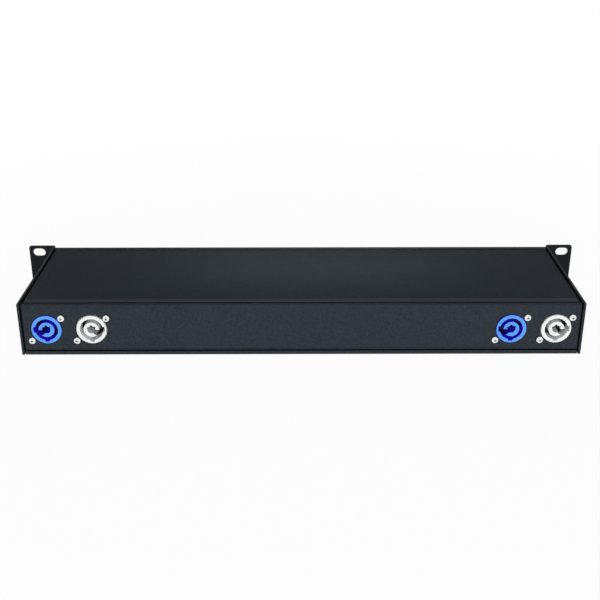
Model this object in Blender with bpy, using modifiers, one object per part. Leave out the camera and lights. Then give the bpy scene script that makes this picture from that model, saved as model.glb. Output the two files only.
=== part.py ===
"""Network switch for a stage rack, one height unit, with eight latching data ports.

The front, with the ports, faces -Y. The rear, with two pairs of mains connectors, faces +Y.
The origin is on the underside, midway between the side plates and midway along them.
All sizes are in metres.
"""

import math

import bmesh
import bpy
from mathutils import Matrix, Vector

# Rack standard: the slots in the ears, and how far the ears end and the chassis lies from them
SLOT_SPACING = 0.4651
SLOT_RISE = 0.03175
SLOT_WIDTH = 0.0110
SLOT_HEIGHT = 0.0070
SLOT_TO_EAR_END = 0.00875
SLOT_TO_CHASSIS = 0.0130

# Chassis
HEIGHT = 0.0437
DEPTH = 0.1290

# Sheet metal
SIDE_SHEET = 0.0020
PANEL_SHEET = 0.0015
COVER_SHEET = 0.0012
BEND_RADIUS = 0.0008
PANEL_INSET = 0.0013
COVER_DROP = 0.0010
SEAM = 0.0008
CLEARANCE = 0.0003
EAR_CORNER = 0.0020
REAR_CORNER = 0.0008
LIP_HEIGHT = 0.0034
LIP_BEND = 0.0002
REAR_FLANGE = 0.0032
FRONT_FLANGE = 0.0086
COVER_FLANGE = 0.0120
TRAY_FLANGE = 0.0120
TAB_LENGTH = 0.0100
TAB_ROOM = 0.0020
CORNER_RELIEF = 0.0010

# Mains connectors: round nose in the rear panel, flange behind it
PAIR_INSET = 0.03865
PAIR_PITCH = 0.0350
MAINS_NOSE = 0.0238
MAINS_WELL = 0.0176
MAINS_CORE = 0.0126
MAINS_HOLLOW = 0.0072
MAINS_PROUD = 0.0010
MAINS_WELL_DEPTH = 0.0135
MAINS_FLOOR = 0.0030
MAINS_BACK = 0.0220
MAINS_CHAMFER = 0.0005
MAINS_KEY_WIDTH = 0.0028
MAINS_KEY_DEPTH = 0.0009
MAINS_NOTCH_WIDTH = 0.0040
MAINS_NOTCH_DEPTH = 0.0014
CORE_GAP = 55
TERMINALS = 3
BLADE_WIDTH = 0.0063
BLADE_THICKNESS = 0.0008
BLADE_LENGTH = 0.0080
BLADE_CIRCLE = 0.0060

# Flange that all the connectors share, and its two diagonal screws
FLANGE_LONG = 0.0310
FLANGE_SHORT = 0.0260
FLANGE_CORNER = 0.0025
MAINS_FLANGE = 0.0030
SCREW_LONG = 0.0240
SCREW_SHORT = 0.0190
SCREW_SHANK = 0.0029
SCREW_HEAD = 0.0054
SCREW_HEAD_HEIGHT = 0.0018
SCREW_HEAD_EDGE = 0.0006
SCREW_LENGTH = 0.0070

# Data ports: two groups of four
PORTS_IN_GROUP = 4
PORT_PITCH = 0.0380
PORT_FLANGE = 0.0022
PORT_NOSE = 0.0236
PORT_BORE = 0.0192
PORT_DEPTH = 0.0105
PORT_FLOOR = 0.0018
PORT_CHAMFER = 0.0006

# Jack in the floor of each port
JACK_WIDTH = 0.0146
JACK_HEIGHT = 0.0114
JACK_LENGTH = 0.0160
PLUG_WIDTH = 0.0118
PLUG_HEIGHT = 0.0068
PLUG_TOP = 0.0043
CLIP_WIDTH = 0.0062
CLIP_HEIGHT = 0.0021
PLUG_DEPTH = 0.0130

# Latch over each port, hinged at its top edge
LATCH_WIDTH = 0.0094
LATCH_SHEET = 0.0010
LATCH_SET_BACK = 0.0002
LATCH_HINGE_HEIGHT = 0.0137
LATCH_BARREL = 0.0020
LATCH_LOW = 0.0094
LATCH_ARM_WIDTH = 0.0060
LATCH_ARM_LENGTH = 0.0068
LATCH_HOOK = 0.0009
LATCH_HOOK_LENGTH = 0.0013
LATCH_SLOT_DEPTH = 0.0090

# Light pipes: one beside each port and one for each supply
LAMP_DIAMETER = 0.0028
LAMP_PROUD = 0.0009
LAMP_DOME = 0.0007

# Switch boards, standing behind the jacks
BOARD_GAP = 0.0480
BOARD_MARGIN = 0.0060
BOARD_ROOM = 0.0025
BOARD_SHEET = 0.0016
CHIP_SIZE = 0.0160
CHIP_HEIGHT = 0.0026
HEADER_WIDTH = 0.0100
HEADER_HEIGHT = 0.0060
HEADER_DEPTH = 0.0050

# Power supplies, lying on the floor
SUPPLY_WIDTH = 0.0500
SUPPLY_DEPTH = 0.0640
SUPPLY_HEIGHT = 0.0280
SUPPLY_ROOM = 0.0132
SUPPLY_EDGE = 0.0015
TERMINAL_WIDTH = 0.0080
TERMINAL_LENGTH = 0.0220
TERMINAL_HEIGHT = 0.0120
TERMINAL_LIFT = 0.0015

# Wiring inside the housing
MAINS_RUN = 0.0304
MAINS_WIRE = 0.0050
SUPPLY_WIRE = 0.0030

# Fineness of the round shapes
MAINS_SEGMENTS = 28
PORT_SEGMENTS = 24
SCREW_SEGMENTS = 10
LAMP_SEGMENTS = 8
BEND_STEPS = 3
CORNER_STEPS = 3
BARREL_STEPS = 9
CORE_STEPS = 20
DOME_STEPS = 3
TERMINAL_SEGMENTS = 16
WIRE_STEPS = 3

# Places that follow from the sizes
RACK_WIDTH = SLOT_SPACING + 2 * SLOT_TO_EAR_END
BODY_WIDTH = SLOT_SPACING - 2 * SLOT_TO_CHASSIS
PANEL_FACE = DEPTH / 2 - PANEL_INSET
COVER_TOP = HEIGHT - COVER_DROP
MIDDLE = HEIGHT / 2
INNER_HALF = BODY_WIDTH / 2 - SIDE_SHEET
PANEL_HALF = INNER_HALF - SEAM
OUTER_BEND = BEND_RADIUS + COVER_SHEET
PANEL_BOTTOM = LIP_HEIGHT + SEAM
TAB_LOW = TRAY_FLANGE + TAB_ROOM
TAB_HIGH = COVER_TOP - COVER_FLANGE - TAB_ROOM
FLOOR_REST = COVER_SHEET + CLEARANCE
PORT_FACE = CLEARANCE + PORT_FLANGE
JACK_FACE = PORT_FACE - PORT_DEPTH
BOARD_FACE = JACK_FACE - JACK_LENGTH - CLEARANCE
BOARD_BACK = BOARD_FACE - BOARD_SHEET
BOARD_WIDTH = PORTS_IN_GROUP * PORT_PITCH + 2 * BOARD_MARGIN
BOARD_TOP = COVER_TOP - COVER_SHEET - BOARD_ROOM
GROUP_CENTRE = (BOARD_GAP + BOARD_WIDTH) / 2
PAIR_CENTRE = BODY_WIDTH / 2 - PAIR_INSET
INNER_MAINS = PAIR_CENTRE - PAIR_PITCH / 2
OUTER_MAINS = PAIR_CENTRE + PAIR_PITCH / 2
MAINS_FLANGE_FACE = -PANEL_SHEET - CLEARANCE
WELL_FLOOR = MAINS_PROUD - MAINS_WELL_DEPTH
WELL_BACK = WELL_FLOOR - MAINS_FLOOR
WIRING_ROW = PANEL_FACE - MAINS_BACK - BLADE_LENGTH - 2 * CLEARANCE - MAINS_WIRE / 2
SUPPLY_SIDE = INNER_MAINS - MAINS_RUN - TERMINAL_WIDTH
SUPPLY_CENTRE = SUPPLY_SIDE - SUPPLY_WIDTH / 2
SUPPLY_REAR = PANEL_FACE - SUPPLY_ROOM
SUPPLY_FRONT = SUPPLY_REAR - SUPPLY_DEPTH
TERMINAL_LOW = FLOOR_REST + TERMINAL_LIFT
HINGE_OUT = PORT_FACE - LATCH_SET_BACK - LATCH_BARREL / 2
GROUPS = (("a", -1), ("b", 1))

# Planes of a drawn outline: its two directions, and the one it is extruded along
PLAN = Matrix.Identity(4)
FRONT_ON = Matrix.Rotation(math.radians(90), 4, "X")
SIDE_ON = Matrix(((0, 0, 1, 0), (1, 0, 0, 0), (0, 1, 0, 0), (0, 0, 0, 1)))

FINISHES = {
    "powder_black": ((0.022, 0.024, 0.027), 0.55, 0.0),
    "inlet_blue": ((0.045, 0.180, 0.820), 0.30, 0.0),
    "outlet_grey": ((0.720, 0.730, 0.740), 0.35, 0.0),
    "zinc": ((0.620, 0.620, 0.610), 0.28, 1.0),
    "port_nickel": ((0.560, 0.550, 0.530), 0.30, 1.0),
    "jack_black": ((0.015, 0.015, 0.016), 0.40, 0.0),
    "latch_steel": ((0.600, 0.590, 0.570), 0.25, 1.0),
    "clear_lens": ((0.550, 0.620, 0.560), 0.15, 0.0),
    "board_green": ((0.010, 0.095, 0.035), 0.40, 0.0),
    "supply_metal": ((0.500, 0.510, 0.520), 0.40, 1.0),
    "wire_black": ((0.020, 0.020, 0.020), 0.50, 0.0),
}


def clear_scene():
    for item in list(bpy.data.objects):
        bpy.data.objects.remove(item)


def new_collection(name):
    group = bpy.data.collections.new(name)
    bpy.context.scene.collection.children.link(group)
    return group


def material(name):
    """The named finish, made on its first use."""
    if name in bpy.data.materials:
        return bpy.data.materials[name]
    colour, roughness, metallic = FINISHES[name]
    made = bpy.data.materials.new(name)
    made.use_nodes = True
    shader = made.node_tree.nodes["Principled BSDF"]
    shader.inputs["Base Color"].default_value = (*colour, 1.0)
    shader.inputs["Roughness"].default_value = roughness
    shader.inputs["Metallic"].default_value = metallic
    made.diffuse_color = (*colour, 1.0)
    return made


def mesh_object(name, mesh):
    item = bpy.data.objects.new(name, mesh)
    TOOLS.objects.link(item)
    item.hide_render = True
    item.display_type = "WIRE"
    return item


def from_bmesh(name, shape):
    mesh = bpy.data.meshes.new(name)
    shape.to_mesh(mesh)
    shape.free()
    return mesh_object(name, mesh)


def tools_of(item):
    return [change.object for change in item.modifiers if change.type == "BOOLEAN"]


def frozen(item):
    """The mesh that an object has with its modifiers; the object and its tools go."""
    bpy.context.view_layer.update()
    graph = bpy.context.evaluated_depsgraph_get()
    mesh = bpy.data.meshes.new_from_object(item.evaluated_get(graph))
    for used in tools_of(item) + [item]:
        bpy.data.objects.remove(used)
    return mesh


def welded(mesh):
    shape = bmesh.new()
    shape.from_mesh(mesh)
    bmesh.ops.remove_doubles(shape, verts=shape.verts, dist=1e-6)
    bmesh.ops.dissolve_limit(shape, angle_limit=math.radians(0.5), verts=shape.verts, edges=shape.edges)
    shape.to_mesh(mesh)
    shape.free()
    return mesh


def keep(item, finish, parent=None, location=(0, 0, 0)):
    """Turn a shape into one of the object's pieces, with its finish and place."""
    TOOLS.objects.unlink(item)
    PIECES.objects.link(item)
    item.hide_render = False
    item.display_type = "TEXTURED"
    item.data.materials.clear()
    item.data.materials.append(material(finish))
    for placed in [item] + tools_of(item):
        placed.parent = parent
        placed.location = location
    item.data.shade_smooth()
    item.data.set_sharp_from_angle(angle=math.radians(32))
    return item


def copy_piece(name, mesh, finish, parent, location):
    return keep(mesh_object(name, mesh), finish, parent, location)


def empty(name, location, rotation=(0, 0, 0), parent=None):
    frame = bpy.data.objects.new(name, None)
    PIECES.objects.link(frame)
    frame.parent = parent
    frame.location = location
    frame.rotation_euler = [math.radians(angle) for angle in rotation]
    return frame


def boolean(body, operation, tool):
    change = body.modifiers.new(tool.name, "BOOLEAN")
    change.operation = operation
    change.solver = "EXACT"
    change.object = tool


def join(body, tool):
    boolean(body, "UNION", tool)


def cut(body, tool):
    boolean(body, "DIFFERENCE", tool)


def arc(centre, radius, start, end, steps):
    """Points on an arc, from one angle to another in degrees."""
    points = []
    for step in range(steps + 1):
        angle = math.radians(start + (end - start) * step / steps)
        points.append((centre[0] + radius * math.cos(angle), centre[1] + radius * math.sin(angle)))
    return points


def rounded_rectangle(width, height, radius, steps=CORNER_STEPS):
    across = width / 2 - radius
    up = height / 2 - radius
    outline = []
    for turn, corner in enumerate(((across, up), (-across, up), (-across, -up), (across, -up))):
        outline += arc(corner, radius, 90 * turn, 90 * turn + 90, steps)
    return outline


def obround(width, height, steps=6):
    reach = (width - height) / 2
    right = arc((reach, 0), height / 2, -90, 90, steps)
    left = arc((-reach, 0), height / 2, 90, 270, steps)
    return right + left


def open_ring(outer, inner, start, end, steps):
    """A ring cut open between two angles, with round ends, as a keyed core has."""
    middle = (outer + inner) / 2
    cap = (outer - inner) / 2
    first = polar(middle, start)
    last = polar(middle, end)
    outline = arc((0, 0), outer, start, end, steps)
    outline += arc(last, cap, end, end + 180, CORNER_STEPS)[1:-1]
    outline += arc((0, 0), inner, end, start, steps)
    outline += arc(first, cap, start + 180, start + 360, CORNER_STEPS)[1:-1]
    return outline


def polar(radius, angle):
    return (radius * math.cos(math.radians(angle)), radius * math.sin(math.radians(angle)))


def left_of(direction):
    return Vector((-direction.y, direction.x))


def folded_sheet(face, sheet, bend=BEND_RADIUS):
    """Outline of a folded sheet, whose thickness lies to the left of the face that is given."""
    points = [Vector(point) for point in face]
    rows = [(points[0], left_of((points[1] - points[0]).normalized()))]
    for before, corner, after in zip(points, points[1:], points[2:]):
        coming = (corner - before).normalized()
        going = (after - corner).normalized()
        turn = math.atan2(coming.cross(going), coming.dot(going))
        side = math.copysign(1, turn)
        radius = bend + sheet if side > 0 else bend
        start = corner - coming * radius * math.tan(abs(turn) / 2)
        centre = start + left_of(coming) * radius * side
        for step in range(BEND_STEPS + 1):
            normal = left_of(coming)
            normal.rotate(Matrix.Rotation(turn * step / BEND_STEPS, 2))
            rows.append((centre - normal * radius * side, normal))
    rows.append((points[-1], left_of((points[-1] - points[-2]).normalized())))
    near = [point for point, normal in rows]
    far = [point + normal * sheet for point, normal in rows]
    return near + far[::-1]


def extruded(name, outline, length, plane=PLAN, centre=(0, 0, 0)):
    """A drawn outline extruded by length, half to each side of its plane."""
    curve = bpy.data.curves.new(name, "CURVE")
    curve.dimensions = "2D"
    curve.fill_mode = "BOTH"
    curve.extrude = length / 2
    spline = curve.splines.new("POLY")
    spline.points.add(len(outline) - 1)
    for point, place in zip(spline.points, outline):
        point.co = (place[0], place[1], 0, 1)
    spline.use_cyclic_u = True
    mesh = welded(frozen(mesh_object(name, curve)))
    mesh.transform(Matrix.Translation(centre) @ plane)
    return mesh_object(name, mesh)


def turned(name, profile, segments):
    """A profile of radius and height, from the top of its axis down, turned about Z."""
    mesh = bpy.data.meshes.new(name)
    points = [(radius, 0, height) for radius, height in profile]
    mesh.from_pydata(points, [(step, step + 1) for step in range(len(points) - 1)], [])
    item = mesh_object(name, mesh)
    change = item.modifiers.new("turn", "SCREW")
    change.axis = "Z"
    change.steps = segments
    change.render_steps = segments
    change.use_merge_vertices = True
    change.merge_threshold = 1e-5
    return mesh_object(name, welded(frozen(item)))


def block(name, low, high):
    shape = bmesh.new()
    bmesh.ops.create_cube(shape, size=1)
    low = Vector(low)
    high = Vector(high)
    bmesh.ops.scale(shape, vec=high - low, verts=shape.verts)
    bmesh.ops.translate(shape, vec=(high + low) / 2, verts=shape.verts)
    return from_bmesh(name, shape)


def rods(name, centres, radius, low, high, segments):
    """Round rods along Z between two heights, as one shape, for holes or pins."""
    shape = bmesh.new()
    for x, y in centres:
        bmesh.ops.create_cone(
            shape, cap_ends=True, segments=segments, radius1=radius, radius2=radius,
            depth=high - low, matrix=Matrix.Translation((x, y, (high + low) / 2)),
        )
    return from_bmesh(name, shape)


def round_edges(item, radius, wanted):
    """Round the edges whose middle is where wanted says, before any modifier."""
    shape = bmesh.new()
    shape.from_mesh(item.data)
    edges = [edge for edge in shape.edges if wanted((edge.verts[0].co + edge.verts[1].co) / 2)]
    bmesh.ops.bevel(
        shape, geom=edges, offset=radius, offset_type="OFFSET", segments=CORNER_STEPS,
        profile=0.5, affect="EDGES", material=-1,
    )
    shape.to_mesh(item.data)
    shape.free()


def tube(name, route, diameter):
    """A wire along a smooth curve through the route's points."""
    curve = bpy.data.curves.new(name, "CURVE")
    curve.dimensions = "3D"
    curve.bevel_depth = diameter / 2
    curve.bevel_resolution = 2
    curve.use_fill_caps = True
    points = smooth_route(route)
    spline = curve.splines.new("POLY")
    spline.points.add(len(points) - 1)
    for point, place in zip(spline.points, points):
        point.co = (*place, 1)
    return mesh_object(name, welded(frozen(mesh_object(name, curve))))


def smooth_route(route):
    """Points along a curve that passes through each point of the route."""
    spots = [Vector(spot) for spot in route]
    spots = [2 * spots[0] - spots[1]] + spots + [2 * spots[-1] - spots[-2]]
    points = []
    for before, start, end, after in zip(spots, spots[1:], spots[2:], spots[3:]):
        for step in range(WIRE_STEPS):
            t = step / WIRE_STEPS
            points.append(
                0.5 * (2 * start + (end - before) * t
                       + (2 * before - 5 * start + 4 * end - after) * t ** 2
                       + (3 * start - before - 3 * end + after) * t ** 3)
            )
    points.append(spots[-2])
    return points


def side_plate(name, side):
    """A side plate, folded outwards at the front into a rack ear with two slots."""
    front = -DEPTH / 2
    ear_end = RACK_WIDTH / 2
    outline = folded_sheet(
        [(INNER_HALF, DEPTH / 2), (INNER_HALF, front), (ear_end, front)], SIDE_SHEET
    )
    if side < 0:
        outline = [(-x, y) for x, y in reversed(outline)]
    plate = extruded(name, outline, HEIGHT, centre=(0, 0, MIDDLE))
    round_edges(plate, EAR_CORNER, at_ear_corner)
    round_edges(plate, REAR_CORNER, at_rear_corner)
    slot = obround(SLOT_WIDTH, SLOT_HEIGHT)
    for row in (-1, 1):
        centre = (side * SLOT_SPACING / 2, front, MIDDLE + row * SLOT_RISE / 2)
        cut(plate, extruded(name + "_slot", slot, 4 * SIDE_SHEET, FRONT_ON, centre))
    keep(plate, "powder_black")


def at_ear_corner(middle):
    at_end = abs(abs(middle.x) - RACK_WIDTH / 2) < 1e-6
    return at_end and abs(abs(middle.z - MIDDLE) - MIDDLE) < 1e-6


def at_rear_corner(middle):
    at_end = abs(middle.y - DEPTH / 2) < 1e-6
    return at_end and abs(abs(middle.z - MIDDLE) - MIDDLE) < 1e-6


def base_tray():
    """The floor, with low side flanges inside the side plates and a lip under each panel."""
    flanged = PANEL_FACE - OUTER_BEND - CORNER_RELIEF
    half = INNER_HALF - CLEARANCE
    across = [(-half, TRAY_FLANGE), (-half, 0), (half, 0), (half, TRAY_FLANGE)]
    tray = extruded("base_tray", folded_sheet(across, COVER_SHEET), 2 * flanged, FRONT_ON)
    start = flanged - CORNER_RELIEF
    end = DEPTH / 2
    front = [(-end, LIP_HEIGHT), (-end, 0), (-start, 0)]
    rear = [(start, 0), (end, 0), (end, LIP_HEIGHT)]
    for name, face in (("front_lip", front), ("rear_lip", rear)):
        outline = folded_sheet(face, COVER_SHEET, LIP_BEND)
        join(tray, extruded(name, outline, 2 * PANEL_HALF, SIDE_ON))
    keep(tray, "powder_black")


def top_cover():
    """The lid between the two panels' flanges, folded down inside the side plates."""
    low = COVER_TOP - COVER_FLANGE
    face = [(PANEL_HALF, low), (PANEL_HALF, COVER_TOP), (-PANEL_HALF, COVER_TOP), (-PANEL_HALF, low)]
    rear = PANEL_FACE - REAR_FLANGE - SEAM
    front = -PANEL_FACE + FRONT_FLANGE + SEAM
    centre = (0, (rear + front) / 2, 0)
    cover = extruded("top_cover", folded_sheet(face, COVER_SHEET), rear - front, FRONT_ON, centre)
    keep(cover, "powder_black")


def panel(name, frame, flange, holes):
    """A front or rear panel in its own frame: a flange at its top, and a tab at each end."""
    face = [(COVER_TOP, -flange), (COVER_TOP, 0), (PANEL_BOTTOM, 0)]
    sheet = extruded(name, folded_sheet(face, PANEL_SHEET), 2 * PANEL_HALF, SIDE_ON)
    ends = [(PANEL_HALF, -TAB_LENGTH), (PANEL_HALF, 0), (-PANEL_HALF, 0), (-PANEL_HALF, -TAB_LENGTH)]
    centre = (0, (TAB_LOW + TAB_HIGH) / 2, 0)
    tabs = folded_sheet(ends, PANEL_SHEET)
    join(sheet, extruded(name + "_tabs", tabs, TAB_HIGH - TAB_LOW, FRONT_ON, centre))
    for number, (centres, radius, segments) in enumerate(holes):
        hole = f"{name}_holes_{number}"
        cut(sheet, rods(hole, centres, radius, -2 * PANEL_SHEET, PANEL_SHEET, segments))
    keep(sheet, "powder_black", frame)


def mains_places():
    """Name, place on the rear panel and kind of each mains connector."""
    places = []
    for letter, side in GROUPS:
        centre = -side * PAIR_CENTRE
        places.append((f"mains_inlet_{letter}", centre - PAIR_PITCH / 2, "inlet"))
        places.append((f"mains_outlet_{letter}", centre + PAIR_PITCH / 2, "outlet"))
    return places


def screw_pair(x, y, across, up):
    """The two screws of a connector, upper right and lower left of its centre."""
    return [(x + across / 2, y + up / 2), (x - across / 2, y - up / 2)]


def port_places():
    """Number and place on the front panel of each data port, from left to right."""
    first = (1 - PORTS_IN_GROUP) / 2
    centres = []
    for letter, side in GROUPS:
        for step in range(PORTS_IN_GROUP):
            centres.append(side * GROUP_CENTRE + (first + step) * PORT_PITCH)
    return list(enumerate(centres, 1))


def lamp_places():
    """Name and place on the front panel of each light pipe."""
    places = [(f"port_{number}_lamp", x + PORT_PITCH / 2) for number, x in port_places()]
    for letter, side in GROUPS:
        places.append((f"power_lamp_{letter}", side * GROUP_CENTRE - PORTS_IN_GROUP / 2 * PORT_PITCH))
    return places


def rear_panel(frame):
    connectors = [(x, MIDDLE) for name, x, kind in mains_places()]
    screws = [spot for x, y in connectors for spot in screw_pair(x, y, SCREW_LONG, SCREW_SHORT)]
    holes = [
        (connectors, MAINS_NOSE / 2 + CLEARANCE, MAINS_SEGMENTS),
        (screws, SCREW_SHANK / 2 + CLEARANCE, SCREW_SEGMENTS),
    ]
    panel("rear_panel", frame, REAR_FLANGE, holes)


def front_panel(frame):
    ports = [(x, MIDDLE) for number, x in port_places()]
    lamps = [(x, MIDDLE) for name, x in lamp_places()]
    holes = [
        (ports, PORT_NOSE / 2 + CLEARANCE, PORT_SEGMENTS),
        (lamps, LAMP_DIAMETER / 2 + CLEARANCE, LAMP_SEGMENTS),
    ]
    panel("front_panel", frame, FRONT_FLANGE, holes)


def mains_connector(kind):
    """A twist-lock mains connector: ring, deep groove and a keyed open core."""
    connector = mains_ring(kind)
    join(connector, mains_flange(kind))
    height = MAINS_WELL_DEPTH + MAINS_FLOOR / 2
    centre = (0, 0, MAINS_PROUD - height / 2)
    first = 180 + CORE_GAP if kind == "inlet" else 0
    core = open_ring(MAINS_CORE / 2, MAINS_HOLLOW / 2, first, first + 360 - CORE_GAP, CORE_STEPS)
    join(connector, extruded(kind + "_core", core, height, centre=centre))
    for groove in keyways(kind):
        cut(connector, groove)
    join(connector, terminals(kind))
    return frozen(connector)


def mains_ring(kind):
    """The round nose with its deep well, from the floor of the well outwards."""
    nose = MAINS_NOSE / 2
    well = MAINS_WELL / 2
    edge = MAINS_PROUD - MAINS_CHAMFER
    profile = [
        (0, WELL_FLOOR), (well, WELL_FLOOR), (well, edge),
        (well + MAINS_CHAMFER, MAINS_PROUD), (nose - MAINS_CHAMFER, MAINS_PROUD),
        (nose, edge), (nose, WELL_BACK), (0, WELL_BACK),
    ]
    return turned(kind, profile, MAINS_SEGMENTS)


def mains_flange(kind):
    """The flange behind the panel, open in the middle so that it joins the ring from outside."""
    outline = rounded_rectangle(FLANGE_LONG, FLANGE_SHORT, FLANGE_CORNER)
    centre = (0, 0, MAINS_FLANGE_FACE - MAINS_FLANGE / 2)
    plate = extruded(kind + "_flange", outline, MAINS_FLANGE, centre=centre)
    low = MAINS_FLANGE_FACE - 2 * MAINS_FLANGE
    high = MAINS_FLANGE_FACE + MAINS_FLANGE
    screws = screw_pair(0, 0, SCREW_LONG, SCREW_SHORT)
    hole = SCREW_SHANK / 2 + CLEARANCE
    cut(plate, rods(kind + "_screw_holes", screws, hole, low, high, SCREW_SEGMENTS))
    bore = MAINS_WELL / 2 + MAINS_CHAMFER
    cut(plate, rods(kind + "_bore", [(0, 0)], bore, low, high, MAINS_SEGMENTS))
    return mesh_object(kind + "_flange", frozen(plate))


def keyways(kind):
    """Cutters for the small key groove below the core and the wide lock notch beside it."""
    well = MAINS_WELL / 2
    low = WELL_FLOOR + MAINS_FLOOR
    high = 2 * MAINS_PROUD
    key = MAINS_KEY_WIDTH / 2
    near = well - MAINS_KEY_DEPTH
    far = well + MAINS_KEY_DEPTH
    yield block(kind + "_key", (-key, -far, low), (key, -near, high))
    notch = MAINS_NOTCH_WIDTH / 2
    side = -1 if kind == "inlet" else 1
    near, far = sorted((side * (well - MAINS_NOTCH_DEPTH), side * (well + MAINS_NOTCH_DEPTH)))
    yield block(kind + "_notch", (near, -notch, low), (far, notch, high))


def terminals(kind):
    """Flat terminals on a round block behind a mains connector."""
    low = -MAINS_BACK
    high = WELL_BACK + MAINS_FLOOR / 2
    base = rods(kind + "_base", [(0, 0)], MAINS_WELL / 2, low, high, TERMINAL_SEGMENTS)
    for number in range(TERMINALS):
        x, y = polar(BLADE_CIRCLE, 90 + number * 360 / TERMINALS)
        join(base, block(
            f"{kind}_blade_{number}",
            (x - BLADE_WIDTH / 2, y - BLADE_THICKNESS / 2, low - BLADE_LENGTH),
            (x + BLADE_WIDTH / 2, y + BLADE_THICKNESS / 2, low + BLADE_THICKNESS),
        ))
    return mesh_object(kind + "_base", frozen(base))


def dome(radius, edge, top):
    """Profile of a rounded head, from the top of its axis down to its edge."""
    profile = []
    for step in range(DOME_STEPS + 1):
        angle = math.radians(90 * step / DOME_STEPS)
        profile.append((radius * math.sin(angle), edge + (top - edge) * math.cos(angle)))
    return profile


def pan_head_screw():
    shank = SCREW_SHANK / 2
    end = CLEARANCE - SCREW_LENGTH
    head = dome(SCREW_HEAD / 2, CLEARANCE + SCREW_HEAD_EDGE, CLEARANCE + SCREW_HEAD_HEIGHT)
    profile = head + [(SCREW_HEAD / 2, CLEARANCE), (shank, CLEARANCE), (shank, end), (0, end)]
    return frozen(turned("screw", profile, SCREW_SEGMENTS))


def mains_connectors(frame):
    meshes = {"inlet": mains_connector("inlet"), "outlet": mains_connector("outlet")}
    finishes = {"inlet": "inlet_blue", "outlet": "outlet_grey"}
    screw = pan_head_screw()
    for name, x, kind in mains_places():
        copy_piece(name, meshes[kind], finishes[kind], frame, (x, MIDDLE, 0))
        corners = zip(("upper", "lower"), screw_pair(x, MIDDLE, SCREW_LONG, SCREW_SHORT))
        for corner, (across, up) in corners:
            copy_piece(f"{name}_screw_{corner}", screw, "zinc", frame, (across, up, 0))


def port_shell():
    """Body of a data port: flange in front of the panel, bore, and a slot for the latch."""
    nose = PORT_NOSE / 2
    bore = PORT_BORE / 2
    back = JACK_FACE - PORT_FLOOR
    shell = extruded(
        "port_shell", rounded_rectangle(FLANGE_SHORT, FLANGE_LONG, FLANGE_CORNER), PORT_FLANGE,
        centre=(0, 0, PORT_FACE - PORT_FLANGE / 2),
    )
    join(shell, rods("port_nose", [(0, 0)], nose, back, PORT_FACE - PORT_FLANGE / 2, PORT_SEGMENTS))
    well = [
        (0, PORT_FACE + PORT_CHAMFER), (bore + 2 * PORT_CHAMFER, PORT_FACE + PORT_CHAMFER),
        (bore, PORT_FACE - PORT_CHAMFER), (bore, JACK_FACE), (0, JACK_FACE),
    ]
    cut(shell, turned("port_bore", well, PORT_SEGMENTS))
    jack_half = Vector((JACK_WIDTH / 2 + CLEARANCE, JACK_HEIGHT / 2 + CLEARANCE, 0))
    through = Vector((0, 0, PORT_FLOOR))
    seat = Vector((0, 0, JACK_FACE))
    cut(shell, block("jack_window", seat - jack_half - 2 * through, seat + jack_half + through))
    tab = LATCH_WIDTH / 2 + CLEARANCE
    arm = LATCH_ARM_WIDTH / 2 + CLEARANCE
    top = LATCH_HINGE_HEIGHT + LATCH_BARREL / 2 + CLEARANCE
    deep = PORT_FACE - LATCH_SLOT_DEPTH
    cut(shell, block("tab_slot", (-tab, 0, 0), (tab, top, 2 * PORT_FACE)))
    cut(shell, block("arm_slot", (-arm, 0, deep), (arm, top, PORT_FACE / 2)))
    screws = screw_pair(0, 0, -SCREW_SHORT, SCREW_LONG)
    hole = SCREW_SHANK / 2 + CLEARANCE
    cut(shell, rods("port_screw_holes", screws, hole, 0, 2 * PORT_FACE, SCREW_SEGMENTS))
    return frozen(shell)


def port_jack():
    """The jack behind a port's bore, with the stepped cavity that takes the plug and its clip."""
    half = Vector((JACK_WIDTH / 2, JACK_HEIGHT / 2, 0))
    back = Vector((0, 0, JACK_FACE - JACK_LENGTH))
    face = Vector((0, 0, JACK_FACE))
    jack = block("port_jack", back - half, face + half)
    plug = PLUG_WIDTH / 2
    clip = CLIP_WIDTH / 2
    low = PLUG_TOP - PLUG_HEIGHT
    deep = JACK_FACE - PLUG_DEPTH
    cut(jack, block("plug_cavity", (-plug, low, deep), (plug, PLUG_TOP, PORT_FACE)))
    bottom = low - CLIP_HEIGHT
    cut(jack, block("clip_cavity", (-clip, bottom, deep), (clip, low + CLIP_HEIGHT, PORT_FACE)))
    return frozen(jack)


def port_latch():
    """A latch about its own hinge: the plate that is pressed, and an arm with a hook behind it."""
    barrel = LATCH_BARREL / 2
    low = LATCH_LOW - LATCH_HINGE_HEIGHT
    plate = [(low, barrel), (low, barrel - LATCH_SHEET)]
    plate += arc((0, 0), barrel, 180, 450, BARREL_STEPS)
    latch = extruded("port_latch", plate, LATCH_WIDTH, SIDE_ON)
    front = barrel - LATCH_SHEET / 2
    back = barrel - LATCH_ARM_LENGTH
    hook = back + LATCH_HOOK_LENGTH
    arm = [
        (low, front), (low, hook), (low - LATCH_HOOK, hook - LATCH_HOOK / 2),
        (low - LATCH_HOOK, back), (low + LATCH_SHEET, back), (low + LATCH_SHEET, front),
    ]
    join(latch, extruded("latch_arm", arm, LATCH_ARM_WIDTH, SIDE_ON))
    return frozen(latch)


def data_ports(frame):
    shell = port_shell()
    jack = port_jack()
    latch = port_latch()
    for number, x in port_places():
        copy_piece(f"port_{number}_shell", shell, "port_nickel", frame, (x, MIDDLE, 0))
        copy_piece(f"port_{number}_jack", jack, "jack_black", frame, (x, MIDDLE, 0))
        hinge = (x, MIDDLE + LATCH_HINGE_HEIGHT, HINGE_OUT)
        copy_piece(f"port_{number}_latch", latch, "latch_steel", frame, hinge)


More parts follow.
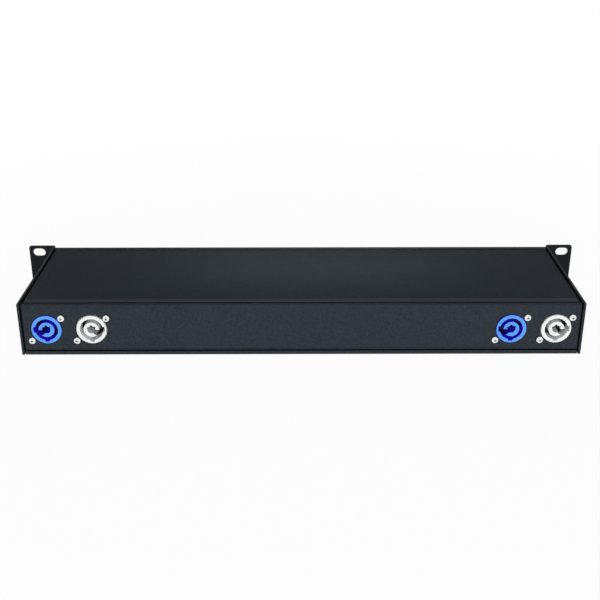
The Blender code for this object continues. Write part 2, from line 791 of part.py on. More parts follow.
def light_pipes(frame):
    radius = LAMP_DIAMETER / 2
    end = BOARD_FACE + CLEARANCE
    head = dome(radius, LAMP_PROUD - LAMP_DOME, LAMP_PROUD)
    pipe = frozen(turned("light_pipe", head + [(radius, end), (0, end)], LAMP_SEGMENTS))
    for name, x in lamp_places():
        copy_piece(name, pipe, "clear_lens", frame, (x, MIDDLE, 0))


def switch_board(frame):
    """A circuit board behind four jacks, with the switching chip and the supply's header."""
    half = BOARD_WIDTH / 2
    board = block("switch_board", (-half, FLOOR_REST, BOARD_BACK), (half, BOARD_TOP, BOARD_FACE))
    overlap = BOARD_SHEET / 2
    for number, x in enumerate((-BOARD_WIDTH / 4, BOARD_WIDTH / 4)):
        chip = CHIP_SIZE / 2
        join(board, block(
            f"chip_{number}", (x - chip, MIDDLE - chip, BOARD_BACK - CHIP_HEIGHT),
            (x + chip, MIDDLE + chip, BOARD_BACK + overlap),
        ))
    header = HEADER_WIDTH / 2
    join(board, block(
        "header", (-header, MIDDLE - HEADER_HEIGHT / 2, BOARD_BACK - HEADER_DEPTH),
        (header, MIDDLE + HEADER_HEIGHT / 2, BOARD_BACK + overlap),
    ))
    mesh = frozen(board)
    for letter, side in GROUPS:
        copy_piece(f"switch_board_{letter}", mesh, "board_green", frame, (side * GROUP_CENTRE, 0, 0))


def power_supply(letter, side):
    """A closed supply on the floor, with its mains terminals on the side that faces out."""
    inward, outward = sorted((side * (SUPPLY_SIDE - SUPPLY_WIDTH), side * SUPPLY_SIDE))
    top = FLOOR_REST + SUPPLY_HEIGHT
    name = f"power_supply_{letter}"
    supply = block(name, (inward, SUPPLY_FRONT, FLOOR_REST), (outward, SUPPLY_REAR, top))
    round_edges(supply, SUPPLY_EDGE, lambda middle: abs(middle.z - top) < 1e-6)
    near, far = sorted((side * (SUPPLY_SIDE - SUPPLY_EDGE), side * (SUPPLY_SIDE + TERMINAL_WIDTH)))
    join(supply, block(
        name + "_terminals", (near, WIRING_ROW - TERMINAL_LENGTH / 2, TERMINAL_LOW),
        (far, WIRING_ROW + TERMINAL_LENGTH / 2, TERMINAL_LOW + TERMINAL_HEIGHT),
    ))
    keep(supply, "supply_metal")


def wiring(letter, side):
    """The mains wires from both connectors to a supply, and the supply's lead to its board."""
    row = WIRING_ROW
    level = TERMINAL_LOW + TERMINAL_HEIGHT / 2
    supply_end = SUPPLY_SIDE + TERMINAL_WIDTH + 2 * CLEARANCE
    route = [
        (side * OUTER_MAINS, row + MAINS_WIRE / 2, MIDDLE),
        (side * (OUTER_MAINS - 0.1 * MAINS_WIRE), row - 0.8 * MAINS_WIRE, MIDDLE),
        (side * (OUTER_MAINS - 2 * MAINS_WIRE), row - MAINS_WIRE, MIDDLE),
        (side * (INNER_MAINS + MAINS_WIRE), row, MIDDLE),
        (side * INNER_MAINS, row, MIDDLE),
        (side * (INNER_MAINS - MAINS_WIRE), row, MIDDLE),
        (side * (supply_end + 2 * MAINS_WIRE), row, level),
        (side * supply_end, row, level),
    ]
    keep(tube(f"mains_wiring_{letter}", route, MAINS_WIRE), "wire_black")
    start = SUPPLY_FRONT - CLEARANCE
    end = -PANEL_FACE - BOARD_BACK + HEADER_DEPTH + CLEARANCE
    straight = (start - end) / 4
    lead = [
        (side * SUPPLY_CENTRE, start, level), (side * SUPPLY_CENTRE, start - straight, level),
        (side * (SUPPLY_CENTRE + GROUP_CENTRE) / 2, (start + end) / 2, (level + MIDDLE) / 2),
        (side * GROUP_CENTRE, end + straight, MIDDLE), (side * GROUP_CENTRE, end, MIDDLE),
    ]
    keep(tube(f"supply_lead_{letter}", lead, SUPPLY_WIRE), "wire_black")


def build():
    rear = empty("rear_face", (0, PANEL_FACE, 0), (90, 0, 180))
    front = empty("front_face", (0, -PANEL_FACE, 0), (90, 0, 0))
    side_plate("side_plate_left", -1)
    side_plate("side_plate_right", 1)
    base_tray()
    top_cover()
    rear_panel(rear)
    front_panel(front)
    mains_connectors(rear)
    data_ports(front)
    light_pipes(front)
    switch_board(front)
    for letter, side in GROUPS:
        power_supply(letter, side)
        wiring(letter, side)


clear_scene()
PIECES = new_collection("network_switch")
TOOLS = new_collection("cutters")
build()
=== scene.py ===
"""Looks of a network switch for a stage rack: a flat black housing, one height unit tall.

Two pairs of twist-lock mains connectors face +Y, and eight latching data ports face -Y.
Sizes are in metres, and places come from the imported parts.
"""

import math

import bmesh
import bpy
from mathutils import Matrix, Vector


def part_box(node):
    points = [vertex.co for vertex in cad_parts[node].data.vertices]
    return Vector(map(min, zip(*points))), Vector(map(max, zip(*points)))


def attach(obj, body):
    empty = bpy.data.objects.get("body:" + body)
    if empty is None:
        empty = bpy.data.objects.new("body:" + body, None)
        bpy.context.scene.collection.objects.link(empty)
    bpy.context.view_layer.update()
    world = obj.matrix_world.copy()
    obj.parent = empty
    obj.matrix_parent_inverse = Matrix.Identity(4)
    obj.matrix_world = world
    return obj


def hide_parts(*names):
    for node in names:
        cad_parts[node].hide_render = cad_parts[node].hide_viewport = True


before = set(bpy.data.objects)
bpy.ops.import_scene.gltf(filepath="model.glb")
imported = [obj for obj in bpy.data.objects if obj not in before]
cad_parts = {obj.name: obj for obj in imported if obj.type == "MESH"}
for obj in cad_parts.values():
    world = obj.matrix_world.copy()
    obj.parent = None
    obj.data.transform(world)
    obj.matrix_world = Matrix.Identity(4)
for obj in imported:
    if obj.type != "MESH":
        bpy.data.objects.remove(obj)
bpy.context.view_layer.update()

# Camera of the photo: its place, how far it looks down and is turned, and its lens in millimetres
CAMERA_PLACE = (0.00425, 0.74846, 0.34916)
CAMERA_DOWN = 23.83
CAMERA_TURN = 179.75
CAMERA_LENS = 58.46
CAMERA_SENSOR = 36

# Twist-lock mains connectors: angles are in degrees, a blade is its width, sheet and length, and a
# spring is its width, sheet, low end and high end
NOSE_RADIUS = 0.0117
WELL_RADIUS = 0.0088
CORE_RADIUS = 0.0061
HOLLOW_RADIUS = 0.0031
NOSE_PROUD = 0.0010
WELL_DEPTH = 0.0135
WELL_FLOOR_SHEET = 0.0030
CONNECTOR_BACK = 0.0220
CORE_GAP = 55
CORE_SLANT = 16
CORE_OUTER_EDGE = 0.00035
CORE_INNER_EDGE = 0.00012
ARM_ROUND = 0.0009
NOSE_EDGE = 0.00045
KEY_HALF = 0.0017
KEY_REACH = 0.0102
NOTCH_HALF = 0.0020
NOTCH_REACH = 0.0102
FLUTES = 36
FLUTE_DEPTH = 0.00018
CONTACT_SLOTS = (35, 95, 155)
SLOT_HALF_ANGLE = 15
SLOT_RADIUS = 0.0038
BLADE = (0.0063, 0.0008, 0.0080)
BLADE_CIRCLE = 0.0060
BLADE_EDGE = 0.0003
SPRING = (0.0010, 0.00030, -0.0118, -0.0072)
SPRING_EDGE = 0.0001
# Depth below a connector's face from which its well is painted dark: painted shade
WELL_SHADE = 0.0078

# Flange that all the connectors share, and its two screws, whose heads and shanks are radii
FLANGE_LONG = 0.0310
FLANGE_SHORT = 0.0260
FLANGE_CORNER = 0.0025
MAINS_FLANGE = 0.0030
PANEL_SHEET = 0.0015
CLEARANCE = 0.0003
SCREW_LONG = 0.0240
SCREW_SHORT = 0.0190
SCREW_HEAD = 0.0027
SCREW_HEIGHT = 0.0018
SCREW_EDGE = 0.0006
SCREW_ROUND = 0.00008
SCREW_SHANK = 0.00145
SCREW_LENGTH = 0.0070
FLUSH_HEAD = 0.00270
FLUSH_DEPTH = 0.0014
FLUSH_GAP = 0.00018
FLUSH_ROUND = 0.00006

# Sheet metal: edge rounding, seams with painted shade in their grooves, the paler strips of painted light
# beside the two seams of the cover, and painted shade on the ears' backs
SHEET_EDGE = 0.00022
PLATE_EDGE = 0.00045
COVER_SHEET = 0.0012
SEAM = 0.0008
SEAM_SHADE = 0.0005
SEAM_MARGIN = 1.5 * SHEET_EDGE
FLAT_MARGIN = 0.00001
# The backs of the ears are painted darker: painted shade
EAR_MARGIN = 0.0001
# Length of the strip of painted light on the cover before its rear seam
PAINTED_STRIP_LONG = 0.0072
REAR_FLANGE = 0.0032
FRONT_BEND_ROOM = 0.0030
PANEL_DROP = 0.0003
PANEL_REACH = 0.0006

# Side plates
SIDE_SHEET = 0.0020
SIDE_SCREW_HEAD = 0.0026
SIDE_SCREW_HEIGHT = 0.0013
SIDE_SCREW_SHANK = 0.0013
SIDE_SCREW_LENGTH = 0.0045
SIDE_SCREW_LOW = 0.0065
TAB_MIDDLE = 0.0055

# Data ports
PORT_FLANGE = 0.0022
PORT_NOSE = 0.0118
PORT_BORE = 0.0096
PORT_DEPTH = 0.0105
PORT_FLOOR = 0.0018
PORT_CHAMFER = 0.0006
PORT_EDGE = 0.00025
LATCH_EDGE = 0.00015
TAB_SLOT_HALF = 0.0050
TAB_SLOT_TOP = 0.0150
ARM_SLOT_HALF = 0.0033
ARM_SLOT_TOP = 0.0112
HOOD_TOP = 0.0122
HOOD_WALL = 0.0008
ARM_SLOT_DEPTH = 0.0090
JACK_HALF_WIDTH = 0.0073
JACK_HALF_HEIGHT = 0.0057
JACK_LENGTH = 0.0160
JACK_CORNER = 0.0004
JACK_EDGE = 0.0002
PLUG_HALF = 0.0059
PLUG_TOP = 0.0043
PLUG_BOTTOM = 0.0025
CLIP_HALF = 0.0031
CLIP_BOTTOM = 0.0046
PLUG_DEPTH = 0.0130
CONTACTS = 8
CONTACT_PITCH = 0.00102
CONTACT_WIDTH = 0.00036
CONTACT_SHEET = 0.00022
LENS_RADIUS = 0.0014
LENS_PROUD = 0.0009
LENS_DOME = 0.0007

# Printed numbers: their height, how far above the lens they stand, and the ink's thickness
NUMBER_HEIGHT = 0.0056
NUMBER_RISE = 0.0048
INK = 0.00002

# Floor, and the share of the white backdrop that gloss sees on the lit side
FLOOR_RADIUS = 1.5
FLOOR_DROP = 0.0004
LIT_SIDE = 0.92

# Segments of round shapes, the distance at which points merge, the room between rings while
# they are joined, and the angle from which an edge is sharp
FINE = 144
MEDIUM = 96
SMALL = 48
MERGE = 1e-6
APART = 0.02
SHARP = math.radians(35)

FINISHES = {}
PORTS = range(1, 9)
GROUPS = ("a", "b")
REAR = Matrix.Rotation(math.radians(180), 4, "Z") @ Matrix.Rotation(math.radians(90), 4, "X")
FRONT = Matrix.Rotation(math.radians(90), 4, "X")


# Shader nodes

def node(tree, kind, inputs=(), **settings):
    """A shader node with its settings; an input is a value or the socket that feeds it."""
    made = tree.nodes.new("ShaderNode" + kind)
    for name, value in settings.items():
        setattr(made, name, value)
    for name, value in dict(inputs).items():
        feed(tree, made.inputs[name], value)
    return made


def feed(tree, socket, value):
    if isinstance(value, bpy.types.NodeSocket):
        tree.links.new(value, socket)
    else:
        socket.default_value = value


def by_identifier(sockets, identifier):
    return next(socket for socket in sockets if socket.identifier == identifier)


def mixed(tree, mask, first, second):
    """A colour that goes from the first to the second as the mask goes from 0 to 1."""
    made = node(tree, "Mix", data_type="RGBA")
    for name, value in (("Factor_Float", mask), ("A_Color", first), ("B_Color", second)):
        feed(tree, by_identifier(made.inputs, name), value)
    return by_identifier(made.outputs, "Result_Color")


def ranged(tree, value, low, high, to_low=0.0, to_high=1.0, shape="LINEAR"):
    """A value whose range from low to high becomes the range from to_low to to_high."""
    inputs = {"Value": value, "From Min": low, "From Max": high, "To Min": to_low, "To Max": to_high}
    return node(tree, "MapRange", inputs, interpolation_type=shape).outputs["Result"]


def maths(tree, operation, first, second):
    return node(tree, "Math", {0: first, 1: second}, operation=operation).outputs["Value"]


def place_on_piece(tree, stretch=(1, 1, 1)):
    """Object coordinates, stretched where a pattern runs along one direction."""
    coordinates = node(tree, "TexCoord").outputs["Object"]
    if tuple(stretch) == (1, 1, 1):
        return coordinates
    return node(tree, "Mapping", {"Vector": coordinates, "Scale": stretch}).outputs["Vector"]


def noise(tree, scale, detail, roughness, stretch=(1, 1, 1)):
    inputs = {
        "Vector": place_on_piece(tree, stretch), "Scale": scale,
        "Detail": detail, "Roughness": roughness,
    }
    return node(tree, "TexNoise", inputs).outputs["Fac"]


def effect(name, inputs, outputs):
    """An empty node group of plain values; returns it with its input and output sockets."""
    tree = bpy.data.node_groups.new(name, "ShaderNodeTree")
    for label, value in inputs.items():
        socket = tree.interface.new_socket(name=label, in_out="INPUT", socket_type="NodeSocketFloat")
        socket.default_value = value
    for label in outputs:
        tree.interface.new_socket(name=label, in_out="OUTPUT", socket_type="NodeSocketFloat")
    return tree, tree.nodes.new("NodeGroupInput").outputs, tree.nodes.new("NodeGroupOutput").inputs


def use(tree, group, **inputs):
    """The outputs of a group placed in a material with its own values."""
    made = tree.nodes.new("ShaderNodeGroup")
    made.node_tree = group
    for name, value in inputs.items():
        feed(tree, made.inputs[name], value)
    return made.outputs


def grain_effect():
    """Fine relief of a coated, cast or moulded surface, with speckles, mottle and soft clouds."""
    outputs = ("Height", "Speckle", "Mottle", "Cloud")
    tree, given, result = effect("surface_grain", {"Scale": 1500.0}, outputs)
    coarse = noise(tree, given["Scale"], 2.0, 0.55)
    finer = noise(tree, maths(tree, "MULTIPLY", given["Scale"], 3.1), 1.0, 0.5)
    height = maths(tree, "ADD", maths(tree, "MULTIPLY", finer, 0.35), coarse)
    feed(tree, result["Height"], height)
    feed(tree, result["Speckle"], ranged(tree, height, 0.78, 0.90))
    broader = noise(tree, maths(tree, "MULTIPLY", given["Scale"], 0.5), 3.0, 0.65)
    feed(tree, result["Mottle"], ranged(tree, broader, 0.36, 0.64))
    feed(tree, result["Cloud"], ranged(tree, noise(tree, 14.0, 3.0, 0.6), 0.35, 0.65))
    return tree


def handling_effect():
    """Faint marks from handling: hairline scratches in two directions, and smudges."""
    tree, given, result = effect("handling_marks", {"Amount": 1.0}, ("Scratches", "Smudges"))
    along = ranged(tree, noise(tree, 160.0, 3.0, 0.7, (1, 14, 9)), 0.66, 0.72)
    across = ranged(tree, noise(tree, 130.0, 3.0, 0.7, (16, 1, 7)), 0.67, 0.73)
    both = maths(tree, "MAXIMUM", along, across)
    feed(tree, result["Scratches"], maths(tree, "MULTIPLY", both, given["Amount"]))
    smudges = ranged(tree, noise(tree, 45.0, 4.0, 0.6), 0.42, 0.68)
    feed(tree, result["Smudges"], maths(tree, "MULTIPLY", smudges, given["Amount"]))
    return tree


def seam_effect():
    """Masks of painted shade in the seams' grooves and on the ears' backs, and of painted light on strips
    beside the cover's seams and on plate edges.
    """
    given_names = (
        "Rear Cover", "Rear Flange", "Front Cover", "Front Bend", "Top", "Side", "Ear Back")
    results = ("Groove Painted Shade", "Rear Painted Light", "Front Painted Light", "Plate Edge Painted Highlight", "Ear")
    tree, given, result = effect("seams", dict.fromkeys(given_names, 0.0), results)
    place = node(tree, "SeparateXYZ", {"Vector": place_on_piece(tree)}).outputs
    across = maths(tree, "ABSOLUTE", place["X"], 0.0)
    y = place["Y"]
    z = place["Z"]

    def beyond(name, step):
        return maths(tree, "ADD", given[name], step)

    def both(first, second):
        return maths(tree, "MULTIPLY", first, second)

    def over(value, limit):
        return maths(tree, "GREATER_THAN", value, limit)

    def under(value, limit):
        return maths(tree, "LESS_THAN", value, limit)

    def between(value, low, high):
        return both(over(value, low), under(value, high))

    top_sheet = between(z, beyond("Top", -2 * COVER_SHEET), beyond("Top", SEAM_MARGIN))
    on_cover = both(under(across, beyond("Side", SEAM)), top_sheet)
    flat = both(on_cover, over(z, beyond("Top", -FLAT_MARGIN)))
    rear = between(y, beyond("Rear Cover", -SEAM_SHADE), beyond("Rear Flange", SEAM_MARGIN))
    front = between(y, given["Front Bend"], beyond("Front Cover", SEAM_MARGIN))
    front_bend = both(front, maths(tree, "SUBTRACT", 1.0, flat))
    ends = both(maths(tree, "ADD", rear, front_bend), on_cover)
    sides = between(across, beyond("Side", -SEAM_MARGIN), beyond("Side", 1.1 * SEAM))
    plate = between(
        across, beyond("Side", SEAM + PLATE_EDGE), beyond("Side", SEAM + SIDE_SHEET - PLATE_EDGE))
    outside = over(across, beyond("Side", SEAM + SIDE_SHEET))
    masks = {
        # painted shade: the grooves of the seams, near black
        "Groove Painted Shade": maths(tree, "MAXIMUM", ends, sides),
        # painted light: a paler strip on the cover before its rear seam
        "Rear Painted Light": both(between(y, beyond("Rear Cover", -PAINTED_STRIP_LONG), given["Rear Cover"]), flat),
        # painted light: a paler strip on the front flange ahead of the cover
        "Front Painted Light": both(under(y, given["Front Cover"]), flat),
        # painted highlight along the side plates' top edges
        "Plate Edge Painted Highlight": both(plate, over(z, beyond("Top", SEAM))),
        # painted shade: the backs of the ears are darker
        "Ear": both(outside, over(y, beyond("Ear Back", -EAR_MARGIN))),
    }
    for name, mask in masks.items():
        feed(tree, result[name], mask)
    return tree


def depth_effect():
    """Masks of painted shade down a connector's well: Depth is 0 at its face and 1 down in the well; Dark is
    1 near the well's floor.
    """
    names = {"Face": 0.0, "Reach": 0.006, "Dark From": 0.006, "Dark To": 0.010}
    tree, given, result = effect("well_depth", names, ("Depth", "Dark"))
    place = node(tree, "SeparateXYZ", {"Vector": place_on_piece(tree)}).outputs["Y"]
    below = maths(tree, "SUBTRACT", given["Face"], place)
    share = maths(tree, "DIVIDE", below, given["Reach"])
    feed(tree, result["Depth"], ranged(tree, share, 0.12, 1.0, shape="SMOOTHSTEP"))
    dark = ranged(tree, below, given["Dark From"], given["Dark To"], shape="SMOOTHSTEP")
    feed(tree, result["Dark"], dark)
    return tree


def finish(name, roughness, metallic=0.0, specular=0.5):
    """A new material, listed by its name; returns its tree and its shader."""
    made = bpy.data.materials.new(name + "_finish")
    made.use_nodes = True
    FINISHES[name] = made
    tree = made.node_tree
    shader = tree.nodes["Principled BSDF"]
    shader.inputs["Roughness"].default_value = roughness
    shader.inputs["Metallic"].default_value = metallic
    shader.inputs["Specular IOR Level"].default_value = specular
    return tree, shader


def relief(tree, shader, height, distance, strength=1.0):
    """Bump of a given height in metres."""
    bump = node(tree, "Bump", {"Height": height, "Distance": distance, "Strength": strength})
    feed(tree, shader.inputs["Normal"], bump.outputs["Normal"])


def powder_black():
    """Black powder coat with a fine texture: soft sheen, pale speckles on the raised grain, painted light on
    strips and plate edges, painted shade in seams and on ears' backs.
    """
    tree, shader = finish("powder_black", 0.5, specular=0.21)
    shader.inputs["Specular Tint"].default_value = (0.84, 0.93, 1.0, 1)
    grain = use(tree, GRAIN, Scale=1250.0)
    marks = use(tree, MARKS, Amount=0.5)
    seams = use(tree, SEAMS, **SEAM_PLACES)
    shade = maths(tree, "ADD", maths(tree, "MULTIPLY", grain["Cloud"], 0.25), grain["Mottle"])
    coat = mixed(tree, shade, (0.0142, 0.0180, 0.0228, 1), (0.0226, 0.0282, 0.0354, 1))
    speckles = maths(tree, "MULTIPLY", grain["Speckle"], 0.5)
    coat = mixed(tree, speckles, coat, (0.042, 0.047, 0.055, 1))
    # Painted light: a paler strip on the cover before its rear seam
    coat = mixed(tree, seams["Rear Painted Light"], coat, (0.0400, 0.0445, 0.0510, 1))
    # Painted light: a paler strip on the front flange ahead of the cover
    coat = mixed(tree, seams["Front Painted Light"], coat, (0.0290, 0.0320, 0.0360, 1))
    # Painted highlight: the side plates' top edges are lighter
    coat = mixed(tree, seams["Plate Edge Painted Highlight"], coat, (0.0420, 0.0465, 0.0520, 1))
    # Painted shade: the backs of the ears are coloured darker
    coat = mixed(tree, seams["Ear"], coat, (0.0060, 0.0075, 0.0098, 1))
    # Painted shade: the seams' grooves are coloured near black
    feed(tree, shader.inputs["Base Color"], mixed(tree, seams["Groove Painted Shade"], coat, (0.001, 0.001, 0.001, 1)))
    worn = maths(tree, "MULTIPLY", marks["Smudges"], 0.07)
    rough = maths(tree, "SUBTRACT", 0.49, worn)
    rough = maths(tree, "ADD", rough, maths(tree, "MULTIPLY", seams["Ear"], 0.14))
    rough = maths(tree, "ADD", rough, maths(tree, "MULTIPLY", seams["Groove Painted Shade"], 0.4))
    feed(tree, shader.inputs["Roughness"], rough)
    relief(tree, shader, grain["Height"], 0.00004, 0.25)


def moulded(name, face, deep, dark, reach, roughness):
    """Moulded plastic of a mains connector: satin at its face, with painted shade down its well, deeper and
    then dark.
    """
    tree, shader = finish(name, roughness, specular=0.45)
    well = use(tree, DEPTH, **{
        "Face": MAINS_FACE, "Reach": reach, "Dark From": WELL_SHADE, "Dark To": 1.5 * WELL_SHADE,
    })
    grain = use(tree, GRAIN, Scale=2600.0)
    marks = use(tree, MARKS, Amount=0.8)
    # Painted shade: the colour turns deeper and more saturated down the well
    shaded = mixed(tree, well["Depth"], face, deep)
    flowed = mixed(tree, maths(tree, "MULTIPLY", grain["Cloud"], 0.12), shaded, deep)
    # Painted shade: near the well's floor the colour goes dark
    feed(tree, shader.inputs["Base Color"], mixed(tree, well["Dark"], flowed, dark))
    rubbed = maths(tree, "MULTIPLY", marks["Scratches"], 0.12)
    feed(tree, shader.inputs["Roughness"], maths(tree, "ADD", roughness, rubbed))
    relief(tree, shader, grain["Height"], 0.00002, 0.35)


def plated(name, colour, dull, roughness, grain_scale, grain_height, brushed=(1, 1, 1)):
    """Plated or bare metal with a little grain, brushed along one direction where it is rolled."""
    tree, shader = finish(name, roughness, metallic=1.0)
    grain = use(tree, GRAIN, Scale=grain_scale)
    marks = use(tree, MARKS, Amount=1.0)
    lines = noise(tree, 900.0, 2.0, 0.6, brushed)
    toned = mixed(tree, maths(tree, "MULTIPLY", grain["Cloud"], 0.6), colour, dull)
    smudged = mixed(tree, maths(tree, "MULTIPLY", marks["Smudges"], 0.3), toned, dull)
    feed(tree, shader.inputs["Base Color"], smudged)
    rough = maths(tree, "ADD", roughness, maths(tree, "MULTIPLY", marks["Smudges"], 0.10))
    feed(tree, shader.inputs["Roughness"], maths(tree, "ADD", rough, maths(tree, "MULTIPLY", lines, 0.06)))
    height = maths(tree, "ADD", grain["Height"], maths(tree, "MULTIPLY", lines, 0.5))
    relief(tree, shader, height, grain_height, 0.5)


def plain_moulding(name, colour, lighter, roughness, grain_scale):
    """Plain moulded plastic or insulation, with grain and faint scratches."""
    tree, shader = finish(name, roughness)
    grain = use(tree, GRAIN, Scale=grain_scale)
    marks = use(tree, MARKS, Amount=0.7)
    mottled = mixed(tree, maths(tree, "MULTIPLY", grain["Cloud"], 0.5), colour, lighter)
    scratched = mixed(tree, maths(tree, "MULTIPLY", marks["Scratches"], 0.4), mottled, lighter)
    feed(tree, shader.inputs["Base Color"], scratched)
    rubbed = maths(tree, "MULTIPLY", marks["Smudges"], 0.12)
    feed(tree, shader.inputs["Roughness"], maths(tree, "ADD", roughness, rubbed))
    relief(tree, shader, grain["Height"], 0.00003, 0.4)


def clear_lens():
    """Frosted clear lens of an unlit light pipe."""
    tree, shader = finish("clear_lens", 0.22)
    shader.inputs["Transmission Weight"].default_value = 0.30
    shader.inputs["IOR"].default_value = 1.49
    grain = use(tree, GRAIN, Scale=2200.0)
    tinted = mixed(tree, grain["Cloud"], (0.66, 0.76, 0.68, 1), (0.74, 0.80, 0.74, 1))
    feed(tree, shader.inputs["Base Color"], tinted)
    feed(tree, shader.inputs["Roughness"], ranged(tree, grain["Height"], 0.4, 0.9, 0.16, 0.34))
    relief(tree, shader, grain["Height"], 0.00002, 0.5)


def solder_mask():
    """Green solder mask over copper traces, with bare pads."""
    tree, shader = finish("board_green", 0.35)
    cells = node(tree, "TexVoronoi", {"Vector": place_on_piece(tree), "Scale": 240.0},
                 distance="CHEBYCHEV", feature="DISTANCE_TO_EDGE").outputs["Distance"]
    pads = node(tree, "TexVoronoi", {"Vector": place_on_piece(tree), "Scale": 300.0}).outputs["Distance"]
    trace = ranged(tree, cells, 0.06, 0.10, 1.0, 0.0)
    pad = ranged(tree, pads, 0.16, 0.20, 1.0, 0.0)
    mask = mixed(tree, trace, (0.008, 0.070, 0.026, 1), (0.016, 0.140, 0.050, 1))
    feed(tree, shader.inputs["Base Color"], mixed(tree, pad, mask, (0.62, 0.50, 0.26, 1)))
    feed(tree, shader.inputs["Roughness"], ranged(tree, pad, 0.0, 1.0, 0.34, 0.22))
    relief(tree, shader, maths(tree, "ADD", trace, pad), 0.00004)


def galvanised():
    """Galvanised steel of the power supplies, with its crystals."""
    tree, shader = finish("supply_metal", 0.4, metallic=1.0)
    crystals = node(tree, "TexVoronoi", {"Vector": place_on_piece(tree), "Scale": 160.0})
    shade = node(tree, "SeparateColor", {"Color": crystals.outputs["Color"]}).outputs["Red"]
    marks = use(tree, MARKS, Amount=1.0)
    feed(tree, shader.inputs["Base Color"], mixed(tree, shade, (0.42, 0.43, 0.44, 1), (0.58, 0.59, 0.60, 1)))
    rough = ranged(tree, shade, 0.0, 1.0, 0.32, 0.46)
    rough = maths(tree, "ADD", rough, maths(tree, "MULTIPLY", marks["Smudges"], 0.1))
    feed(tree, shader.inputs["Roughness"], rough)
    relief(tree, shader, shade, 0.00001)


def printed_ink():
    """Pale grey ink of the port numbers, thin over the coat's grain."""
    tree, shader = finish("number_ink", 0.55)
    grain = use(tree, GRAIN, Scale=1250.0)
    thin = ranged(tree, grain["Speckle"], 0.0, 1.0, 0.0, 0.45)
    feed(tree, shader.inputs["Base Color"], mixed(tree, thin, (0.62, 0.63, 0.64, 1), (0.38, 0.39, 0.40, 1)))
    feed(tree, shader.inputs["Roughness"], ranged(tree, grain["Cloud"], 0.0, 1.0, 0.5, 0.62))
    relief(tree, shader, grain["Height"], 0.00003, 0.5)


def make_materials():
    powder_black()
    # The second and third colours and the reach give each connector's painted shade down its well
    moulded(
        "inlet_blue", (0.110, 0.370, 0.940, 1), (0.046, 0.012, 0.820, 1),
        (0.001, 0.001, 0.040, 1), 0.0012, 0.30)
    moulded(
        "outlet_grey", (0.900, 0.905, 0.910, 1), (0.700, 0.695, 0.680, 1),
        (0.012, 0.012, 0.012, 1), 0.0070, 0.32)
    plated("zinc", (0.97, 0.97, 0.96, 1), (0.86, 0.86, 0.87, 1), 0.34, 3200.0, 0.000006)
    plated("port_nickel", (0.60, 0.585, 0.56, 1), (0.44, 0.43, 0.42, 1), 0.32, 2400.0, 0.00002)
    plated("latch_steel", (0.66, 0.65, 0.63, 1), (0.50, 0.50, 0.49, 1), 0.22, 2800.0, 0.00001, (8, 8, 0.4))
    plated("contact_gold", (0.94, 0.68, 0.30, 1), (0.80, 0.56, 0.24, 1), 0.20, 3000.0, 0.000005)
    # Painted shade: darker zinc for the walls and floor of the screws' cross recesses
    plated("zinc_recess_shade", (0.66, 0.66, 0.67, 1), (0.50, 0.50, 0.51, 1), 0.50, 2600.0, 0.00001)
    plated("recess_dark", (0.060, 0.060, 0.064, 1), (0.030, 0.030, 0.033, 1), 0.60, 2600.0, 0.00001)
    plated("screw_black", (0.050, 0.050, 0.054, 1), (0.030, 0.030, 0.033, 1), 0.36, 2600.0, 0.00001)
    plain_moulding("jack_black", (0.012, 0.012, 0.013, 1), (0.022, 0.022, 0.024, 1), 0.38, 2200.0)
    plain_moulding("wire_black", (0.016, 0.016, 0.017, 1), (0.030, 0.030, 0.032, 1), 0.46, 1600.0)
    clear_lens()
    solder_mask()
    galvanised()
    printed_ink()


# Shapes

def keep(name, shape, finish_names, body="housing", stands_for=()):
    """Make a finished piece of a shape that is already in its place, in one finish or several.

    Doubled points are merged first, where rings of a loft coincide.
    """
    bmesh.ops.remove_doubles(shape, verts=shape.verts, dist=MERGE)
    mesh = bpy.data.meshes.new(name)
    shape.to_mesh(mesh)
    shape.free()
    mesh.shade_smooth()
    mesh.set_sharp_from_angle(angle=SHARP)
    for finish_name in [finish_names] if isinstance(finish_names, str) else finish_names:
        mesh.materials.append(FINISHES[finish_name])
    piece = bpy.data.objects.new(name, mesh)
    bpy.context.scene.collection.objects.link(piece)
    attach(piece, body)
    if stands_for:
        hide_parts(*stands_for)


def put(shape, plane, x, y, z):
    """Turn a shape drawn as right, up and outwards onto a panel, and move it to its place."""
    shape.transform(Matrix.Translation((x, y, z)) @ plane)
    return shape


def middle(node_name):
    low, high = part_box(node_name)
    return (low + high) / 2


def circle(radius):
    return lambda angle: radius


def box_outline(left, right, bottom, top):
    """Outline of a box round the axis: how far it reaches at each angle."""
    def reach(angle):
        across = math.cos(angle)
        up = math.sin(angle)
        side = (right if across > 0 else left) / max(abs(across), 1e-9)
        end = (top if up > 0 else bottom) / max(abs(up), 1e-9)
        return min(side, end)
    return reach


def rounded_outline(half_width, half_height, corner):
    """Outline of a box with round corners."""
    box = box_outline(half_width, half_width, half_height, half_height)
    centre = Vector((half_width - corner, half_height - corner))

    def reach(angle):
        ray = Vector((abs(math.cos(angle)), abs(math.sin(angle))))
        along = ray.dot(centre)
        off = centre.length_squared - along ** 2
        if off > corner ** 2:
            return box(angle)
        far = along + math.sqrt(corner ** 2 - off)
        point = ray * far
        in_corner = point.x > centre.x and point.y > centre.y
        return far if in_corner else box(angle)
    return reach


def joined(*outlines):
    return lambda angle: max(outline(angle) for outline in outlines)


def scaled(outline, factor):
    return lambda angle: outline(angle) * factor


def ring(shape, outline, height, segments):
    """A closed ring of edges that follows an outline at one height, always in the same order."""
    made = bmesh.ops.create_circle(shape, cap_ends=False, segments=segments, radius=1)
    for vert in made["verts"]:
        angle = math.atan2(vert.co.y, vert.co.x)
        reach = outline(angle)
        vert.co = (reach * math.cos(angle), reach * math.sin(angle), height)
    return list(dict.fromkeys(edge for vert in made["verts"] for edge in vert.link_edges))


